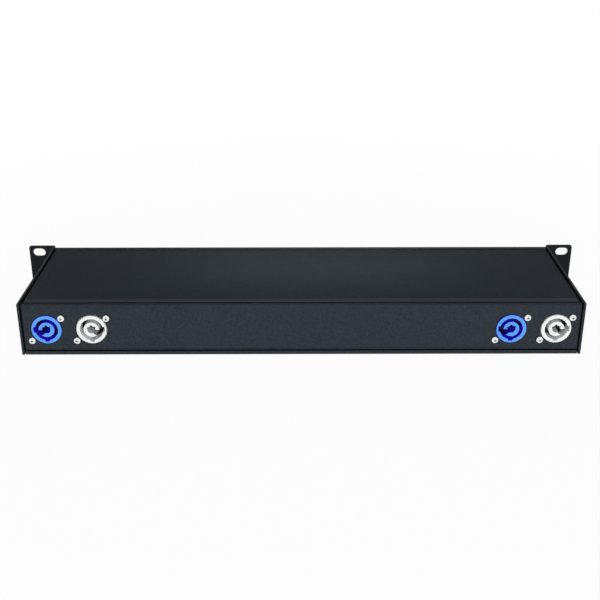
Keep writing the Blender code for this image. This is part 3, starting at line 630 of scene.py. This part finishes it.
def lofted(sections, segments, closed=False):
    """A shape through rings of one outline and height each, capped, or closed on itself.

    The rings are joined while they stand apart, because flat strips would twist.
    """
    shape = bmesh.new()
    outlines = [outline for outline, _ in sections]
    rings = [ring(shape, outline, APART * step, segments) for step, outline in enumerate(outlines)]
    pairs = list(zip(rings, rings[1:]))
    if closed:
        pairs.append((rings[-1], rings[0]))
    for near, far in pairs:
        bmesh.ops.bridge_loops(shape, edges=near + far)
    if not closed:
        for end in (rings[0], rings[-1]):
            bmesh.ops.edgeloop_fill(shape, edges=end)
    for edges, (_, height) in zip(rings, sections):
        for edge in edges:
            for vert in edge.verts:
                vert.co.z = height
    bmesh.ops.recalc_face_normals(shape, faces=shape.faces)
    return shape


def rounded(shape, radius, steps=2, wanted=lambda edge: True):
    """Round the sharp edges that stand out of a shape."""
    edges = [
        edge for edge in shape.edges
        if edge.is_manifold and edge.is_convex and edge.calc_face_angle(0) > SHARP and wanted(edge)
    ]
    bmesh.ops.bevel(
        shape, geom=edges, offset=radius, offset_type="OFFSET", segments=steps,
        profile=0.5, affect="EDGES", material=-1, clamp_overlap=True,
    )
    return shape


def block(shape, low, high):
    """A box between two corners, added to a shape."""
    low = Vector(low)
    high = Vector(high)
    made = bmesh.ops.create_cube(shape, size=1)
    bmesh.ops.scale(shape, vec=high - low, verts=made["verts"])
    bmesh.ops.translate(shape, vec=(high + low) / 2, verts=made["verts"])
    return made["verts"]


def merge_in(shape, other):
    """Add another shape's mesh to this one."""
    mesh = bpy.data.meshes.new("part")
    other.to_mesh(mesh)
    other.free()
    shape.from_mesh(mesh)
    bpy.data.meshes.remove(mesh)
    return shape


# Sheet metal and latches

def dressed(node_name, piece_name, finish_name, radius, steps=2, body="housing", fitted=None):
    """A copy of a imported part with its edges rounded, which stands for it."""
    shape = bmesh.new()
    shape.from_mesh(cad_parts[node_name].data)
    bmesh.ops.remove_doubles(shape, verts=shape.verts, dist=MERGE)
    flat = math.radians(1)
    bmesh.ops.dissolve_limit(shape, angle_limit=flat, verts=shape.verts, edges=shape.edges)
    if fitted:
        fitted(shape)
    rounded(shape, radius, steps)
    keep(piece_name, shape, finish_name, body, (node_name,))


def close_ends(shape):
    """The front panel's ends reach almost to the side plates."""
    half = max(vert.co.x for vert in shape.verts)
    for vert in shape.verts:
        if abs(vert.co.x) > half - MERGE:
            vert.co.x += math.copysign(PANEL_REACH, vert.co.x)


def lower_foot(shape):
    """The rear panel's lower edge comes down closer to the tray's lip."""
    foot = min(vert.co.z for vert in shape.verts)
    for vert in shape.verts:
        if vert.co.z < foot + MERGE:
            vert.co.z -= PANEL_DROP


def sheet_metal():
    for side in ("left", "right"):
        dressed(f"side_plate_{side}", f"side_plate_{side}_coated", "powder_black", PLATE_EDGE, 3)
    fits = {"top_cover": None, "rear_panel": lower_foot, "front_panel": close_ends, "base_tray": None}
    for name, fitted in fits.items():
        dressed(name, name + "_coated", "powder_black", SHEET_EDGE, fitted=fitted)


# Mains connectors

def mains_well(inlet):
    """Outline of the well: fluted, with a key groove below and a lock notch at one side."""
    side = -1 if inlet else 1

    def reach(angle):
        x = WELL_RADIUS * math.cos(angle)
        y = WELL_RADIUS * math.sin(angle)
        if y < 0 and abs(x) < KEY_HALF:
            return KEY_REACH
        if x * side > 0 and abs(y) < NOTCH_HALF:
            return NOTCH_REACH
        flute = FLUTE_DEPTH * (0.5 - 0.5 * math.cos(FLUTES * angle))
        return WELL_RADIUS + flute
    return reach


def mains_body(inlet):
    """Ring, well, flange behind the panel and the round block that holds the terminals."""
    well = mains_well(inlet)
    nose = circle(NOSE_RADIUS)
    flange = rounded_outline(FLANGE_LONG / 2, FLANGE_SHORT / 2, FLANGE_CORNER)
    floor = NOSE_PROUD - WELL_DEPTH
    flange_face = -PANEL_SHEET - CLEARANCE
    flange_back = flange_face - MAINS_FLANGE
    back = floor - WELL_FLOOR_SHEET
    base = circle(WELL_RADIUS)
    sections = [
        (well, floor), (well, NOSE_PROUD), (nose, NOSE_PROUD), (nose, flange_face),
        (flange, flange_face), (flange, flange_back), (nose, flange_back), (nose, back),
        (base, back), (base, -CONNECTOR_BACK),
    ]
    face = lambda edge: all(vert.co.z > NOSE_PROUD - MERGE for vert in edge.verts)
    return rounded(lofted(sections, FINE), NOSE_EDGE, 3, wanted=face)


def mains_core(inlet):
    """The open core: a thick C that stands in the well, with one slanted end."""
    top = NOSE_PROUD
    floor = NOSE_PROUD - WELL_DEPTH
    first = 180 + CORE_GAP if inlet else 0
    start = math.radians(first)
    shape = bmesh.new()
    ends = [
        shape.verts.new((radius * math.cos(start), radius * math.sin(start), top))
        for radius in (HOLLOW_RADIUS, CORE_RADIUS)
    ]
    seed = shape.edges.new(ends)
    bmesh.ops.spin(
        shape, geom=ends + [seed], cent=(0, 0, 0), axis=(0, 0, 1),
        angle=math.radians(360 - CORE_GAP), steps=MEDIUM, use_merge=False, use_duplicate=False,
    )
    slant_end(shape, inlet)
    slot_hollow(shape)
    walls = bmesh.ops.extrude_face_region(shape, geom=list(shape.faces))
    moved = [item for item in walls["geom"] if isinstance(item, bmesh.types.BMVert)]
    bmesh.ops.translate(shape, vec=(0, 0, floor - top - CLEARANCE), verts=moved)
    bmesh.ops.recalc_face_normals(shape, faces=shape.faces)
    round_arm(shape, inlet)
    wall_middle = (CORE_RADIUS + SLOT_RADIUS) / 2
    face = lambda edge: all(vert.co.z > top - MERGE for vert in edge.verts)
    outer = lambda edge: face(edge) and any(vert.co.xy.length > wall_middle for vert in edge.verts)
    rounded(shape, CORE_OUTER_EDGE, 3, wanted=outer)
    return rounded(shape, CORE_INNER_EDGE, 2, wanted=face)


def core_end(vert, angle):
    """Whether a point lies on the core's end at an angle."""
    off = math.atan2(vert.co.y, vert.co.x) - math.radians(angle)
    return abs(math.atan2(math.sin(off), math.cos(off))) < 1e-4


def slant_end(shape, inlet):
    """The lower arm ends on a slant: its inner corner reaches less far than its outer one."""
    angle = 180 + CORE_GAP if inlet else -CORE_GAP
    turn = CORE_SLANT if inlet else -CORE_SLANT
    for vert in shape.verts:
        if core_end(vert, angle) and vert.co.xy.length < CORE_RADIUS - MERGE:
            vert.co.rotate(Matrix.Rotation(math.radians(turn), 3, "Z"))


def slot_hollow(shape):
    """Three contact slots in the upper wall of the core's hollow."""
    for vert in shape.verts:
        angle = math.degrees(math.atan2(vert.co.y, vert.co.x))
        in_slot = any(abs(angle - middle_angle) < SLOT_HALF_ANGLE for middle_angle in CONTACT_SLOTS)
        if in_slot and vert.co.xy.length < CORE_RADIUS - MERGE:
            vert.co.xy = vert.co.xy * SLOT_RADIUS / HOLLOW_RADIUS


def round_arm(shape, inlet):
    """The upper arm ends round."""
    angle = 180 if inlet else 0
    corners = [
        edge for edge in shape.edges
        if all(core_end(vert, angle) for vert in edge.verts)
        and abs(edge.verts[0].co.z - edge.verts[1].co.z) > WELL_DEPTH / 2
    ]
    bmesh.ops.bevel(
        shape, geom=corners, offset=ARM_ROUND, offset_type="OFFSET", segments=5,
        profile=0.5, affect="EDGES", material=-1, clamp_overlap=True,
    )


def mains_terminals():
    """Flat push-on terminals behind a connector."""
    shape = bmesh.new()
    width, sheet, length = BLADE
    for number in range(3):
        angle = math.radians(90 + 120 * number)
        x = BLADE_CIRCLE * math.cos(angle)
        y = BLADE_CIRCLE * math.sin(angle)
        block(
            shape, (x - width / 2, y - sheet / 2, -CONNECTOR_BACK - length),
            (x + width / 2, y + sheet / 2, -CONNECTOR_BACK + sheet),
        )
    return rounded(shape, BLADE_EDGE)


def mains_springs():
    """Spring contacts that stand in the slots of the core's hollow."""
    shape = bmesh.new()
    width, sheet, low, high = SPRING
    for angle in CONTACT_SLOTS:
        turn = Matrix.Rotation(math.radians(angle), 3, "Z")
        wall = SLOT_RADIUS - sheet / 2
        verts = block(shape, (wall - sheet, -width / 2, low), (wall, width / 2, high))
        bmesh.ops.rotate(shape, cent=(0, 0, 0), matrix=turn, verts=verts)
    return rounded(shape, SPRING_EDGE)


def mains_connectors():
    for letter in GROUPS:
        for kind, finish_name in (("inlet", "inlet_blue"), ("outlet", "outlet_grey")):
            node_name = f"mains_{kind}_{letter}"
            spot = middle(node_name)
            inlet = kind == "inlet"
            place = (REAR, spot.x, REAR_FACE, spot.z)
            body = mains_body(inlet)
            merge_in(body, mains_core(inlet))
            put(body, *place)
            keep(node_name + "_moulding", body, finish_name, "housing", (node_name,))
            keep(node_name + "_terminals", put(mains_terminals(), *place), "zinc")
            keep(node_name + "_springs", put(mains_springs(), *place), "port_nickel")


# Screws

def pan_head(radius, height, edge, shank, length):
    """A pan-head screw with a cross recess, standing on height 0."""
    wing = radius * 0.40
    slot = radius * 0.14
    cross = joined(box_outline(wing, wing, slot, slot), box_outline(slot, slot, wing, wing))
    recess = height * 0.70
    sections = [(scaled(cross, 0.60), height - recess), (cross, height * 0.985)]
    for share in (0.66, 0.84, 0.95):
        drop = math.sqrt(1 - share ** 2)
        sections.append((circle(radius * share), edge + (height - edge) * drop))
    sections += [
        (circle(radius), edge), (circle(radius), 0),
        (circle(shank), 0), (circle(shank), -length),
    ]
    screw = lofted(sections, SMALL)
    darken_recess(screw, wing, height)
    return rounded(screw, SCREW_ROUND, 1)


def darken_recess(screw, wing, height):
    """Give the walls and floor of a recess the second material; on the zinc screws it is a darker zinc,
    painted shade in the recess.
    """
    for face in screw.faces:
        middle_of_face = face.calc_center_median()
        inside = middle_of_face.xy.length < wing and 0 < middle_of_face.z < height * 0.98
        if inside:
            face.material_index = 1


def mains_screws():
    for letter in GROUPS:
        for kind in ("inlet", "outlet"):
            for level in ("upper", "lower"):
                node_name = f"mains_{kind}_{letter}_screw_{level}"
                spot = middle(node_name)
                screw = pan_head(SCREW_HEAD, SCREW_HEIGHT, SCREW_EDGE, SCREW_SHANK, SCREW_LENGTH)
                screw.transform(Matrix.Rotation(spot.x * 90, 4, "Z"))
                put(screw, REAR, spot.x, REAR_FACE + CLEARANCE, spot.z)
                keep(node_name + "_zinc", screw, ("zinc", "zinc_recess_shade"), "housing", (node_name,))


def flush_head():
    """A countersunk screw with a cross recess, whose flat head ends on height 0."""
    wing = FLUSH_HEAD * 0.52
    slot = FLUSH_HEAD * 0.15
    cross = joined(box_outline(wing, wing, slot, slot), box_outline(slot, slot, wing, wing))
    sections = [
        (scaled(cross, 0.55), -FLUSH_DEPTH * 0.75), (cross, -0.00006), (circle(FLUSH_HEAD * 0.9), 0),
        (circle(FLUSH_HEAD), -0.00012), (circle(SCREW_SHANK), -FLUSH_DEPTH),
        (circle(SCREW_SHANK), -SCREW_LENGTH),
    ]
    return rounded(lofted(sections, SMALL), FLUSH_ROUND, 1)


def flush_places():
    """Where a port's screws go, to the right and up from its middle: upper left and lower right."""
    return {"upper": (-SCREW_SHORT / 2, SCREW_LONG / 2), "lower": (SCREW_SHORT / 2, -SCREW_LONG / 2)}


def port_screws():
    for number in PORTS:
        spot = middle(f"port_{number}_shell")
        for word, (right, up) in flush_places().items():
            screw = flush_head()
            screw.transform(Matrix.Rotation(1.7 * number + up * 90, 4, "Z"))
            put(screw, FRONT, spot.x + right, FRONT_FACE - CLEARANCE - PORT_FLANGE, spot.z + up)
            keep(f"port_{number}_screw_{word}", screw, "zinc")


def side_screws():
    """Screws that hold each side plate to the panels' tabs and the tray."""
    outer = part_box("side_plate_right")[0].x + SIDE_SHEET
    tab = REAR_FACE - TAB_MIDDLE
    places = ((-tab, MIDDLE), (tab, MIDDLE), (-tab / 2, SIDE_SCREW_LOW), (tab / 2, SIDE_SCREW_LOW))
    for word, side in (("left", -1), ("right", 1)):
        plane = Matrix.Rotation(math.radians(90 * side), 4, "Y")
        for number, (y, z) in enumerate(places, 1):
            screw = pan_head(
                SIDE_SCREW_HEAD, SIDE_SCREW_HEIGHT, SCREW_EDGE, SIDE_SCREW_SHANK, SIDE_SCREW_LENGTH)
            screw.transform(Matrix.Rotation(0.7 * number, 4, "Z"))
            put(screw, plane, side * outer, y, z)
            keep(f"side_plate_{word}_screw_{number}", screw, ("screw_black", "recess_dark"))


# Data ports

def port_shell():
    """Die-cast shell of a port, from the window in its floor round to its back."""
    face = CLEARANCE + PORT_FLANGE
    seat = face - PORT_DEPTH
    back = seat - PORT_FLOOR
    behind_panel = -PANEL_SHEET - CLEARANCE / 2
    slot_end = face - ARM_SLOT_DEPTH
    window = box_outline(
        JACK_HALF_WIDTH + CLEARANCE, JACK_HALF_WIDTH + CLEARANCE,
        JACK_HALF_HEIGHT + CLEARANCE, JACK_HALF_HEIGHT + CLEARANCE,
    )
    bore = circle(PORT_BORE)
    arm = joined(bore, box_outline(ARM_SLOT_HALF, ARM_SLOT_HALF, 0, ARM_SLOT_TOP))
    deep_arm = joined(bore, box_outline(ARM_SLOT_HALF, ARM_SLOT_HALF, 0, HOOD_TOP))
    tab = box_outline(TAB_SLOT_HALF, TAB_SLOT_HALF, 0, TAB_SLOT_TOP)
    nose = circle(PORT_NOSE)
    hood_half = ARM_SLOT_HALF + HOOD_WALL
    hood = joined(nose, box_outline(hood_half, hood_half, 0, HOOD_TOP + HOOD_WALL))
    flange = rounded_outline(FLANGE_SHORT / 2, FLANGE_LONG / 2, FLANGE_CORNER)
    sections = [
        (window, back), (window, seat), (bore, seat), (bore, slot_end), (deep_arm, slot_end),
        (deep_arm, behind_panel), (arm, behind_panel), (arm, 0), (joined(bore, tab), 0),
        (joined(bore, tab), face - PORT_CHAMFER), (joined(circle(PORT_BORE + PORT_CHAMFER), tab), face),
        (flange, face), (flange, CLEARANCE), (nose, CLEARANCE), (nose, behind_panel),
        (hood, behind_panel), (hood, slot_end - HOOD_WALL), (nose, slot_end - HOOD_WALL), (nose, back),
    ]
    shell = rounded(lofted(sections, FINE, closed=True), PORT_EDGE)
    return countersunk(shell, face)


def countersunk(shell, face):
    """Open the flange's front round its two screws, with a conical seat below each."""
    front = [item for item in shell.faces if all(abs(vert.co.z - face) < MERGE for vert in item.verts)]
    bmesh.ops.delete(shell, geom=front, context="FACES")
    rims = [edge for edge in shell.edges if edge.is_boundary]
    for place in flush_places().values():
        mouth = ring(shell, circle(FLUSH_HEAD + FLUSH_GAP), face, SMALL)
        seat = ring(shell, circle(SCREW_SHANK + FLUSH_GAP), face - FLUSH_DEPTH, SMALL)
        verts = list({vert for edge in mouth + seat for vert in edge.verts})
        bmesh.ops.translate(shell, vec=(*place, 0), verts=verts)
        bmesh.ops.bridge_loops(shell, edges=mouth + seat)
        bmesh.ops.edgeloop_fill(shell, edges=seat)
        rims += mouth
    bmesh.ops.triangle_fill(shell, use_beauty=True, use_dissolve=False, edges=rims)
    bmesh.ops.recalc_face_normals(shell, faces=shell.faces)
    return shell


def port_jack():
    """Black insert with the stepped cavity for the plug and its clip."""
    plug = box_outline(PLUG_HALF, PLUG_HALF, PLUG_BOTTOM, PLUG_TOP)
    clip = box_outline(CLIP_HALF, CLIP_HALF, CLIP_BOTTOM, PLUG_BOTTOM)
    cavity = joined(plug, clip)
    outer = rounded_outline(JACK_HALF_WIDTH, JACK_HALF_HEIGHT, JACK_CORNER)
    face = CLEARANCE + PORT_FLANGE - PORT_DEPTH
    sections = [(cavity, face - PLUG_DEPTH), (cavity, face), (outer, face), (outer, face - JACK_LENGTH)]
    mouth = lambda edge: edge.verts[0].co.z > face - MERGE
    return rounded(lofted(sections, FINE), JACK_EDGE, wanted=mouth)


def bent_strip(shape, path, left, width, sheet):
    """A thin strip that follows a path of up and outward places."""
    verts = [shape.verts.new((left, up, out)) for up, out in path]
    edges = [shape.edges.new(pair) for pair in zip(verts, verts[1:])]
    made = bmesh.ops.extrude_edge_only(shape, edges=edges)["geom"]
    moved = [item for item in made if isinstance(item, bmesh.types.BMVert)]
    bmesh.ops.translate(shape, vec=(width, 0, 0), verts=moved)
    faces = [item for item in made if isinstance(item, bmesh.types.BMFace)]
    bmesh.ops.recalc_face_normals(shape, faces=faces)
    bmesh.ops.solidify(shape, geom=faces, thickness=sheet)


def jack_contacts():
    """Gold spring wires that slant down into the jack's cavity."""
    face = CLEARANCE + PORT_FLANGE - PORT_DEPTH
    path = [
        (PLUG_TOP - 0.0002, face - 0.0012), (PLUG_TOP - 0.0008, face - 0.0020),
        (PLUG_TOP - 0.0026, face - 0.0090), (PLUG_TOP - 0.0022, face - 0.0104),
        (PLUG_TOP - 0.0004, face - 0.0112),
    ]
    shape = bmesh.new()
    for number in range(CONTACTS):
        left = (number - (CONTACTS - 1) / 2) * CONTACT_PITCH - CONTACT_WIDTH / 2
        bent_strip(shape, path, left, CONTACT_WIDTH, CONTACT_SHEET)
    bmesh.ops.recalc_face_normals(shape, faces=shape.faces)
    return shape


def light_pipe(length):
    """A domed lens on its light pipe."""
    edge = LENS_PROUD - LENS_DOME
    sections = [(circle(LENS_RADIUS), -length), (circle(LENS_RADIUS), edge)]
    for step in range(1, 6):
        angle = math.radians(90 * step / 6)
        sections.append((circle(LENS_RADIUS * math.cos(angle)), edge + LENS_DOME * math.sin(angle)))
    return lofted(sections, SMALL)


def data_ports():
    for number in PORTS:
        spot = middle(f"port_{number}_shell")
        place = (FRONT, spot.x, FRONT_FACE, spot.z)
        name = f"port_{number}"
        shell = put(port_shell(), *place)
        keep(name + "_casting", shell, "port_nickel", "housing", (name + "_shell",))
        jack = put(port_jack(), *place)
        keep(name + "_insert", jack, "jack_black", "housing", (name + "_jack",))
        keep(name + "_contacts", put(jack_contacts(), *place), "contact_gold")
        latch = name + "_latch"
        dressed(latch, latch + "_plated", "latch_steel", LATCH_EDGE, body=f"latch_{number}")


def light_pipes():
    names = [f"port_{number}_lamp" for number in PORTS] + [f"power_lamp_{letter}" for letter in GROUPS]
    for name in names:
        low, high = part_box(name)
        spot = middle(name)
        pipe = light_pipe(high.y - low.y - LENS_PROUD)
        put(pipe, FRONT, spot.x, FRONT_FACE, spot.z)
        keep(name + "_lens", pipe, "clear_lens", "housing", (name,))


def port_numbers():
    """A plain printed number beside each port, above its lens."""
    for number in PORTS:
        spot = middle(f"port_{number}_lamp")
        text = bpy.data.curves.new(f"number_{number}", "FONT")
        text.body = str(number)
        text.size = NUMBER_HEIGHT
        text.align_x = "CENTER"
        text.extrude = INK
        written = bpy.data.objects.new(f"number_{number}", text)
        bpy.context.scene.collection.objects.link(written)
        bpy.context.view_layer.update()
        mesh = bpy.data.meshes.new_from_object(written.evaluated_get(bpy.context.evaluated_depsgraph_get()))
        bpy.data.objects.remove(written)
        shape = bmesh.new()
        shape.from_mesh(mesh)
        bpy.data.meshes.remove(mesh)
        bmesh.ops.remove_doubles(shape, verts=shape.verts, dist=MERGE)
        put(shape, FRONT, spot.x, FRONT_FACE - 2 * INK, spot.z + NUMBER_RISE)
        keep(f"port_{number}_number", shape, "number_ink")


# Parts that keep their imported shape

def inner_parts():
    finishes = {
        "switch_board": "board_green", "power_supply": "supply_metal",
        "mains_wiring": "wire_black", "supply_lead": "wire_black",
    }
    for letter in GROUPS:
        for name, finish_name in finishes.items():
            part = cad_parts[f"{name}_{letter}"]
            part.data.materials.clear()
            part.data.materials.append(FINISHES[finish_name])


# Floor, light and camera

def backdrop_share(tree):
    """1 for what the camera, gloss and glass see, 0 for the light that falls on things."""
    path = node(tree, "LightPath").outputs
    seen = maths(tree, "MAXIMUM", path["Is Camera Ray"], path["Is Glossy Ray"])
    return maths(tree, "MAXIMUM", seen, path["Is Transmission Ray"])


def pale_floor():
    """A white floor that keeps a faint shadow, and runs out into the white behind it."""
    shape = bmesh.new()
    bmesh.ops.create_circle(shape, cap_ends=True, segments=64, radius=FLOOR_RADIUS)
    bmesh.ops.translate(shape, vec=(0, 0, -FLOOR_DROP), verts=shape.verts)
    mesh = bpy.data.meshes.new("floor")
    shape.to_mesh(mesh)
    shape.free()
    floor = bpy.data.objects.new("floor", mesh)
    bpy.context.scene.collection.objects.link(floor)
    made = bpy.data.materials.new("floor_white")
    made.use_nodes = True
    tree = made.node_tree
    tree.nodes.clear()
    away = node(tree, "VectorMath", {0: place_on_piece(tree)}, operation="LENGTH").outputs["Value"]
    plain = ranged(tree, away, 0.30, 0.75, 0.96, 1.0, "SMOOTHSTEP")
    lit = node(tree, "BsdfDiffuse", {"Color": (0.86, 0.86, 0.86, 1)})
    white = node(tree, "Emission", {"Color": (1, 1, 1, 1), "Strength": 1.0})
    share = maths(tree, "MULTIPLY", backdrop_share(tree), plain)
    both = node(tree, "MixShader", {0: share, 1: lit.outputs[0], 2: white.outputs[0]})
    node(tree, "OutputMaterial", {"Surface": both.outputs[0]})
    mesh.materials.append(made)


def soft_world():
    """White for the camera and glass, and for gloss that looks to the lit side; a dim even light."""
    world = bpy.data.worlds.new("studio")
    world.use_nodes = True
    tree = world.node_tree
    tree.nodes.clear()
    path = node(tree, "LightPath").outputs
    direction = node(tree, "TexCoord").outputs["Generated"]
    ahead = node(tree, "SeparateXYZ", {"Vector": direction}).outputs["Y"]
    lit_side = ranged(tree, ahead, -0.45, 0.25, 0.0, LIT_SIDE, "SMOOTHSTEP")
    gloss = maths(tree, "MULTIPLY", path["Is Glossy Ray"], lit_side)
    clear = maths(tree, "MAXIMUM", path["Is Camera Ray"], path["Is Transmission Ray"])
    dim = node(tree, "Background", {"Color": (0.88, 0.95, 1, 1), "Strength": 0.06})
    white = node(tree, "Background", {"Color": (1, 1, 1, 1), "Strength": 1.0})
    seen = maths(tree, "MAXIMUM", clear, gloss)
    both = node(tree, "MixShader", {0: seen, 1: dim.outputs[0], 2: white.outputs[0]})
    node(tree, "OutputWorld", {"Surface": both.outputs[0]})
    bpy.context.scene.world = world


def softbox(name, place, width, height, power, colour=(1, 1, 1), gloss=True):
    """An area lamp that faces the object; without gloss it only lights, and isn't mirrored."""
    lamp = bpy.data.lights.new(name, "AREA")
    lamp.shape = "RECTANGLE"
    lamp.size = width
    lamp.size_y = height
    lamp.energy = power
    lamp.color = colour
    box = bpy.data.objects.new(name, lamp)
    box.location = place
    box.visible_glossy = gloss
    box.rotation_mode = "QUATERNION"
    box.rotation_quaternion = (-Vector(place)).to_track_quat("-Z", "Y")
    bpy.context.scene.collection.objects.link(box)


def studio_light():
    softbox("key", (-0.10, 2.35, 0.50), 1.6, 0.5, 46, gloss=False)
    softbox("above", (0, 0.3, 2.2), 1.2, 0.8, 6.5, (0.92, 0.97, 1))
    softbox("sheen", (-0.06, -1.8, 0.80), 0.9, 0.6, 1.4, (0.74, 0.91, 1))
    softbox("fill", (0, -2.3, 0.9), 1.2, 0.8, 20, gloss=False)
    softbox("side_left", (-1.9, -1.2, 0.8), 0.9, 0.9, 8)
    softbox("side_right", (1.9, -1.2, 0.8), 0.9, 0.9, 8)


def photo_camera():
    camera = bpy.data.cameras.new("camera")
    camera.lens = CAMERA_LENS
    camera.sensor_width = CAMERA_SENSOR
    camera.dof.use_dof = False
    seat = bpy.data.objects.new("camera", camera)
    seat.location = CAMERA_PLACE
    seat.rotation_euler = (math.radians(90 - CAMERA_DOWN), 0, math.radians(CAMERA_TURN))
    bpy.context.scene.collection.objects.link(seat)
    bpy.context.scene.camera = seat


REAR_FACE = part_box("rear_panel")[1].y
FRONT_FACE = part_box("front_panel")[0].y
MAINS_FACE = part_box("mains_inlet_a")[1].y
MIDDLE = middle("mains_inlet_a").z
GRAIN = grain_effect()
MARKS = handling_effect()
DEPTH = depth_effect()
SEAMS = seam_effect()
SEAM_PLACES = {
    "Rear Cover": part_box("top_cover")[1].y, "Rear Flange": REAR_FACE - REAR_FLANGE,
    "Front Cover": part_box("top_cover")[0].y, "Front Bend": FRONT_FACE + FRONT_BEND_ROOM,
    "Top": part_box("top_cover")[1].z, "Side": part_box("top_cover")[1].x,
    "Ear Back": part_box("side_plate_left")[0].y + SIDE_SHEET,
}

make_materials()
sheet_metal()
mains_connectors()
mains_screws()
data_ports()
port_screws()
light_pipes()
port_numbers()
side_screws()
inner_parts()
pale_floor()
soft_world()
studio_light()
photo_camera()
bpy.context.scene.view_settings.view_transform = "Standard"
